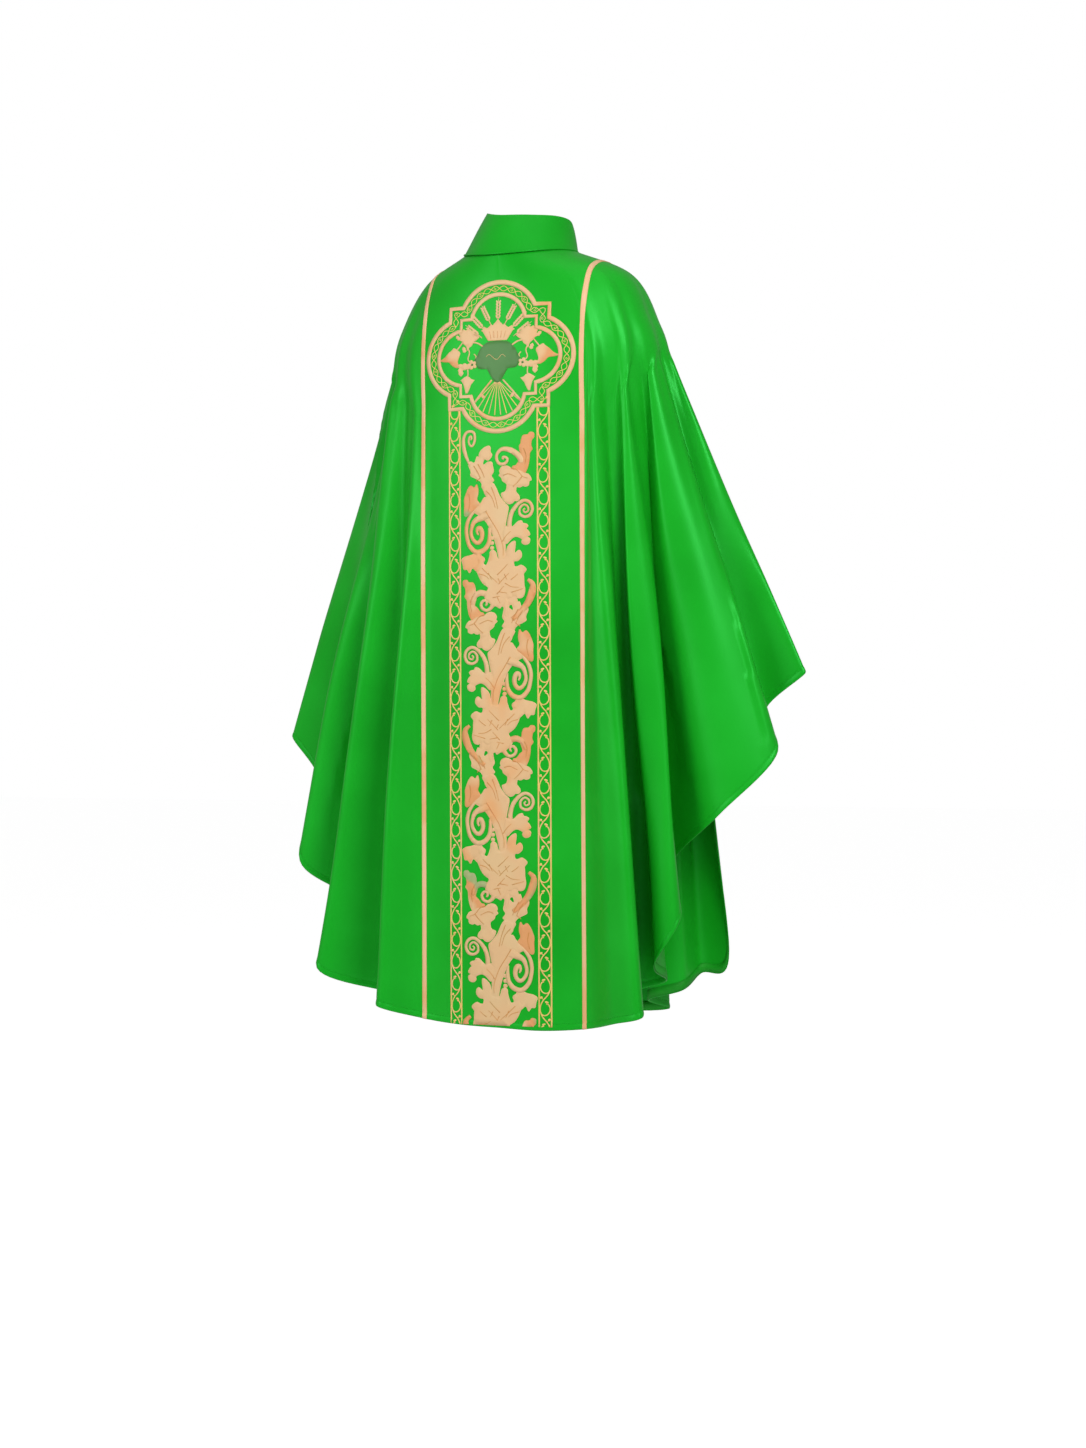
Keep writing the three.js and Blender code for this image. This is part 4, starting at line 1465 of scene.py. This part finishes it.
@dataclass
class Collar:
    """The collar that leans in from the neck seam: outer layer, canvas, lining and piping."""

    drape: Drape
    finishes: Finishes
    height: float = 58.0
    lean: float = 31.0
    upright_lean: float = 11.0
    band: float = 7.0
    full_to: float = 58.0
    runs_out: float = 125.0
    foot: float = 0.4
    piping_radius: float = 1.3
    columns: int = 180
    rows: int = 16

    def rise(self, angle: np.ndarray) -> np.ndarray:
        """The collar's height round the neck, in millimetres."""
        turn = (angle + 180) % 360 - 180
        from_back = np.abs(turn)
        share = np.clip((from_back - self.full_to) / (self.runs_out - self.full_to), 0, 1)
        dip = np.sin(np.radians(np.clip(turn, 0, 90))) ** 2
        level = 1 + 0.045 * np.cos(np.radians(turn + 75)) - 0.15 * dip
        return self.band + (self.height - self.band) * level * np.sqrt(np.clip(1 - share**2.6, 0, 1))

    def leaning(self, angle: np.ndarray) -> np.ndarray:
        """How far the collar would lean in at full height, in millimetres: most at the back."""
        turn = (angle + 180) % 360 - 180
        share = np.where(turn > 0, np.clip((turn - 40) / 62, 0, 1), np.clip((-turn - 78) / 45, 0, 1))
        share = share * share * (3 - 2 * share)
        return self.lean + (self.upright_lean - self.lean) * share

    def points(self, angle: np.ndarray, share: np.ndarray, offset: float) -> np.ndarray:
        """Points of the collar.

        Args:
            angle: degrees from the centre back.
            share: how far up, from 0 to 1.
            offset: millimetres outwards from its inner face.

        Returns:
            Points in metres.
        """
        foot = self.drape.neck.points(angle)
        away = foot - np.array([*self.drape.neck.shift, 0.0])
        away[..., 2] = 0
        away /= np.linalg.norm(away, axis=-1, keepdims=True)
        rise = self.rise(angle) * share
        bulge = np.sin(share * math.pi)
        roll = 1.6 * bulge + 0.8 * np.sin(np.radians(angle) * 3 + 1.2) * bulge
        out = offset - (self.leaning(angle) - roll) * rise / self.height
        points = foot + away * out[..., None]
        points[..., 2] = foot[..., 2] + self.foot + rise
        return points * MM

    def cut(self, top: float) -> tuple[float, float, float]:
        """The flat cut of a layer: a strip as long as the neck seam, shaped by the collar's height round it.

        Args:
            top: how far up the layer reaches, as a share.

        Returns:
            Its length and greatest height in metres, and its flat area in square metres.
        """
        slit = math.degrees(self.drape.slit_half / self.drape.neck.front)
        angle = np.linspace(-180 + slit, 180 - slit, 361)
        length = np.linalg.norm(np.diff(self.drape.neck.points(angle), axis=0), axis=-1).sum() * MM
        height = self.rise(angle) * top * MM
        return float(length), float(height.max()), float(length * height.mean())

    def layer(self, name: str, inner: float, thickness: float, material: bpy.types.Material, slot: str,
              top: float = 1.0) -> None:
        """Build one layer of the collar.

        Args:
            name: the piece and the solid that it replaces.
            inner: its inner face, in millimetres from the collar's inside.
            thickness: in millimetres.
            material: its finish.
            slot: not used.
            top: how far up it reaches, as a share.
        """
        bm = bmesh.new()
        bmesh.ops.create_grid(bm, x_segments=self.columns, y_segments=self.rows, size=0.5)
        places = np.array([vert.co[:2] for vert in bm.verts]) + 0.5
        slit = math.degrees(self.drape.slit_half / self.drape.neck.front)
        angle = -180 + slit + (360 - 2 * slit) * places[:, 0]
        points = self.points(angle, places[:, 1] * top, np.full(len(places), inner))
        for vert, point in zip(bm.verts, points):
            vert.co = point
        layer = bm.loops.layers.uv.new("cloth")
        for face in bm.faces:
            for loop in face.loops:
                place = places[loop.vert.index]
                loop[layer].uv = (place[0] * 0.48, place[1] * 0.06)
        bm.normal_update()
        if sum(face.normal.dot(Vector((face.calc_center_median().x, face.calc_center_median().y, 0)))
               for face in bm.faces) < 0:
            bmesh.ops.reverse_faces(bm, faces=bm.faces)
        obj = object_from(bm, name, [material])
        thicken(obj, thickness * MM)
        bevel = obj.modifiers.new("edge", "BEVEL")
        bevel.width = thickness * 0.4 * MM
        bevel.segments = 2
        bevel.limit_method = "ANGLE"
        finish_piece(obj, [name])
        length, height, area = self.cut(top)

    def build(self) -> None:
        """Build the layers, the piping and the edge stitching."""
        self.layer("collar_lining", 0.0, 0.8, self.finishes.lining, "lining", 0.985)
        self.layer("collar_interlining", 0.95, 0.6, self.finishes.canvas, "interlining", 0.95)
        self.layer("collar_outer", 1.7, 1.2, self.finishes.satin, "satin")
        slit = math.degrees(self.drape.slit_half / self.drape.neck.front)
        angle = np.linspace(-180 + slit, 180 - slit, 160)
        foot = self.points(angle, np.zeros(160), np.full(160, 3.5))
        run = Run([tuple(point) for point in foot], [self.piping_radius * MM] * 160)
        obj = object_from(tube_bmesh([run], 3), "collar_piping", [self.finishes.satin])
        finish_piece(obj, ["collar_piping"])
        self.stitches()

    def stitches(self) -> None:
        """Sew a line of stitches along the collar's upper edge."""
        angle = np.linspace(-172, 172, 1500)
        share = 1 - 5.0 / self.rise(angle)
        path = self.points(angle[share > 0.1], share[share > 0.1], np.full((share > 0.1).sum(), 2.95))
        obj = object_from(tube_bmesh(stitch_runs(path, 3.0 * MM, 1.3 * MM, 0.28 * MM), 0), "collar_stitching",
                          [self.finishes.satin])
        finish_piece(obj, [])


def stitch_runs(path: np.ndarray, length: float, space: float, radius: float) -> list[Run]:
    """Stitches along a path.

    Args:
        path: points of the seam, in metres.
        length: of a stitch.
        space: between stitches.
        radius: of the thread.

    Returns:
        A run for each stitch.
    """
    lengths = np.concatenate([[0], np.cumsum(np.linalg.norm(np.diff(path, axis=0), axis=1))])
    runs = []
    for start in np.arange(space, lengths[-1] - length, length + space):
        places = [start, start + length / 2, start + length]
        points = [tuple(float(np.interp(place, lengths, path[:, axis])) for axis in range(3))
                  for place in places]
        runs.append(Run(points, [radius * 0.5, radius, radius * 0.5]))
    return runs


# ------------------------------------------------------------------------------------------------ inside


@dataclass
class InsideFinishing:
    """Hem strips, neck facings, seam tapes and the hanger loop."""

    drape: Drape
    finishes: Finishes
    thickness: float = 0.5 * MM
    clearance: float = 0.4

    def cut_to_seam(self, place_at: Callable) -> tuple[float, float]:
        """Flat size of a strip that is cut to the seam it finishes.

        Args:
            place_at: gives the fold number and the step for shares across and down.

        Returns:
            Its mean lengths round the bell and down the bell, in metres.
        """
        across, down = np.meshgrid(np.linspace(0, 1, 301), np.linspace(0, 1, 101))
        fold, step = place_at(across.ravel(), down.ravel())
        points = self.drape.points(fold, step).reshape(*across.shape, 3)
        round_bell = np.linalg.norm(np.diff(points, axis=1), axis=-1).sum(axis=1).mean()
        down_bell = np.linalg.norm(np.diff(points, axis=0), axis=-1).sum(axis=0).mean()
        return float(round_bell), float(down_bell)

    def strip(self, name: str, columns: int, rows: int, place_at: Callable, inset: float) -> None:
        """Build a strip of lining against the inside of the cloth.

        Args:
            name: the piece and the solid that it replaces.
            columns: its divisions round the bell.
            rows: its divisions down the bell.
            place_at: gives the fold number and the step for shares across and down.
            inset: how far inside the cloth it lies, in millimetres.
        """
        bm = bmesh.new()
        bmesh.ops.create_grid(bm, x_segments=columns, y_segments=rows, size=0.5)
        places = np.array([vert.co[:2] for vert in bm.verts]) + 0.5
        fold, step = place_at(places[:, 0], places[:, 1])
        points = self.drape.points(fold, step) - self.drape.normals(fold, step) * inset * MM
        for vert, point in zip(bm.verts, points):
            vert.co = point
        bm.normal_update()
        outwards = self.drape.normals(fold, step)
        bm.verts.ensure_lookup_table()
        agree = sum(bm.verts[index].normal.dot(Vector(outwards[index])) for index in range(len(bm.verts)))
        if agree > 0:
            bmesh.ops.reverse_faces(bm, faces=bm.faces)
        obj = object_from(bm, name, [self.finishes.lining])
        thicken(obj, self.thickness)
        finish_piece(obj, [name])
        self.cut_to_seam(place_at)

    def build(self) -> None:
        """Build every inside piece."""
        drape = self.drape
        for side in Side:
            half, hand = side.label
            first, last = side.value

            def hem(across: np.ndarray, down: np.ndarray, first: int = first, last: int = last) -> tuple:
                """Places on a hem strip."""
                fold = first + (last - first) * across
                return fold, drape.above_hem(fold, 14.0 - 13.0 * down)

            self.strip(f"{half}_hem_strip_{hand}", (last - first) * 12, 2, hem, self.clearance)
            self.stitching(side)
        for hand, first, last in (("right", 0, 24), ("left", 24, 42)):
            def facing(across: np.ndarray, down: np.ndarray, first: int = first, last: int = last) -> tuple:
                """Places on a neck facing."""
                margin = 0.08
                fold = first + margin + (last - first - 2 * margin) * across
                return fold, 0.02 + 0.6 * down

            self.strip(f"neck_facing_{hand}", 60, 8, facing, self.clearance)
        seams = [("shoulder_seam_tape_right", 13, 0.63), ("shoulder_seam_tape_left", 33, 0.63),
                 ("centre_back_seam_tape", 42, 0.63), ("centre_front_seam_tape", 24, 2.5)]
        for name, seam, top in seams:
            def tape(across: np.ndarray, down: np.ndarray, seam: int = seam, top: float = top) -> tuple:
                """Places on a seam tape."""
                lowest = drape.above_hem(np.full(down.shape, float(seam)), np.full(down.shape, 16.0))
                step = top + (lowest - top) * down
                near = 0.01
                middle = np.full(step.shape, float(seam))
                sides = drape.points(middle + near, step) - drape.points(middle - near, step)
                spread = np.linalg.norm(sides, axis=-1)
                fold = middle + (across - 0.5) * 16 * MM * 2 * near / spread
                return fold, step

            self.strip(name, 4, 120, tape, self.clearance)
        self.loop()

    def stitching(self, side: Side) -> None:
        """Sew the hem of one panel."""
        first, last = side.value
        fold = np.linspace(first + 0.02, last - 0.02, (last - first) * 60)
        step = self.drape.above_hem(fold, np.full(fold.shape, 9.0))
        path = self.drape.points(fold, step) + self.drape.normals(fold, step) * 0.7 * MM
        half, hand = side.label
        runs = stitch_runs(path, 3.2 * MM, 1.4 * MM, 0.3 * MM)
        obj = object_from(tube_bmesh(runs, 0), f"{half}_hem_stitching_{hand}", [self.finishes.satin])
        finish_piece(obj, [])

    def loop(self) -> None:
        """Make the hanger loop: a folded tape sewn down at both ends."""
        low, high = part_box("hanger_loop")
        centre = Vector(((low[0] + high[0]) / 2, 0, (low[2] + high[2]) / 2))
        bm = bmesh.new()
        bmesh.ops.create_cube(bm, size=1.0)
        bmesh.ops.scale(bm, vec=(high[0] - low[0], 1.4 * MM, high[2] - low[2]), verts=bm.verts)
        long_edges = [edge for edge in bm.edges if abs(edge.verts[0].co.x - edge.verts[1].co.x) > 0.01]
        bmesh.ops.subdivide_edges(bm, edges=long_edges, cuts=24)
        half = (high[0] - low[0]) / 2
        for vert in bm.verts:
            share = 1 - abs(vert.co.x) / half
            sag = math.sin(share * math.pi / 2) ** 1.3
            vert.co.y += high[1] - 1.0 * MM - (high[1] - low[1] - 1.6 * MM) * sag
            vert.co.z += centre.z
        sharp = [edge for edge in bm.edges if edge.calc_face_angle(0) > 1.0]
        bmesh.ops.bevel(bm, geom=sharp, offset=0.3 * MM, segments=2, profile=0.5, affect="EDGES", material=-1)
        finish_piece(object_from(bm, "hanger_loop", [self.finishes.lining]), ["hanger_loop"])


# ------------------------------------------------------------------------------------------------ the studio


@dataclass
class Studio:
    """Plain floor, soft light and the camera, behind the wearer and a little to their right."""

    azimuth: float = 205.0
    distance: float = 4.5
    height: float = -0.6645
    aside: float = 0.0216
    lens: float = 77.7
    floor: float = -1.62
    floor_glow: float = 0.72
    ambient: float = 0.3
    key_power: float = 65.0
    fill_power: float = 38.0
    top_power: float = 8.0

    def direction(self) -> tuple[Vector, Vector]:
        """Level directions towards the camera and to the picture's right."""
        turn = math.radians(self.azimuth)
        return Vector((math.sin(turn), -math.cos(turn), 0)), Vector((math.cos(turn), math.sin(turn), 0))

    def area_light(self, name: str, place: Vector, target: Vector, size: float, power: float) -> None:
        """Add a soft square light aimed at a point."""
        light = bpy.data.lights.new(name, "AREA")
        light.size = size
        light.energy = power
        obj = bpy.data.objects.new(name, light)
        obj.location = place
        obj.rotation_euler = (target - place).to_track_quat("-Z", "Y").to_euler()
        bpy.context.scene.collection.objects.link(obj)

    def build(self) -> None:
        """Set up the floor, the lights, the world and the camera."""
        scene = bpy.context.scene
        towards, right = self.direction()
        target = right * self.aside + Vector((0, 0, self.height))
        camera = bpy.data.cameras.new("camera")
        camera.lens = self.lens
        camera.sensor_width = 36.0
        holder = bpy.data.objects.new("camera", camera)
        holder.location = target + towards * self.distance
        holder.rotation_euler = (-towards).to_track_quat("-Z", "Y").to_euler()
        scene.collection.objects.link(holder)
        scene.camera = holder
        bm = bmesh.new()
        bmesh.ops.create_grid(bm, x_segments=1, y_segments=1, size=30)
        bmesh.ops.translate(bm, verts=bm.verts, vec=(0, 0, self.floor))
        bench = NodeBench("studio_floor")
        bench.surface(Base_Color=(0.9, 0.9, 0.9, 1.0), Roughness=0.9)
        bench.surface(Emission_Color=(1.0, 1.0, 1.0, 1.0))
        paths = bench.add("LightPath")
        glow = bench.add("Math", operation="MULTIPLY")
        glow.inputs[1].default_value = self.floor_glow
        bench.join(paths.outputs["Is Camera Ray"], glow.inputs[0])
        bench.join(glow.outputs["Value"], bench.shader.inputs["Emission Strength"])
        floor = object_from(bm, "studio_floor", [bench.material])
        scene.collection.objects.link(floor)
        middle = Vector((0, 0, -0.5))
        up = Vector((0, 0, 1))
        self.area_light("key", towards * 2.7 + right * 1.1 + up * 1.1, middle, 1.1, self.key_power)
        self.area_light("fill", towards * 1.9 - right * 2.6 + up * 0.4, middle, 1.4, self.fill_power)
        self.area_light("top", up * 2.4 + towards * 0.6, middle, 2.0, self.top_power)
        world = bpy.data.worlds.new("studio")
        world.use_nodes = True
        tree = world.node_tree
        seen = tree.nodes["Background"]
        seen.inputs["Color"].default_value = (1, 1, 1, 1)
        cast = tree.nodes.new("ShaderNodeBackground")
        cast.inputs["Color"].default_value = (1, 1, 1, 1)
        cast.inputs["Strength"].default_value = self.ambient
        paths = tree.nodes.new("ShaderNodeLightPath")
        mix = tree.nodes.new("ShaderNodeMixShader")
        tree.links.new(paths.outputs["Is Camera Ray"], mix.inputs["Fac"])
        tree.links.new(cast.outputs["Background"], mix.inputs[1])
        tree.links.new(seen.outputs["Background"], mix.inputs[2])
        tree.links.new(mix.outputs["Shader"], tree.nodes["World Output"].inputs["Surface"])
        scene.world = world
        scene.view_settings.view_transform = "Standard"


def main() -> None:
    """Build the chasuble from its panels outwards, then the studio."""
    logging.basicConfig(level=logging.INFO, format="%(name)s: %(message)s")
    finishes = Finishes()
    drape = Drape()
    panels = Panels(drape, finishes)
    trees = panels.build()
    orphreys = Orphreys(finishes, panels.cloth)
    orphreys.build("back", trees[True])
    orphreys.build("front", trees[False])
    Galloons(panels, finishes).build()
    Collar(drape, finishes).build()
    InsideFinishing(drape, finishes).build()
    Studio().build()


if __name__ == "__main__":
    main()
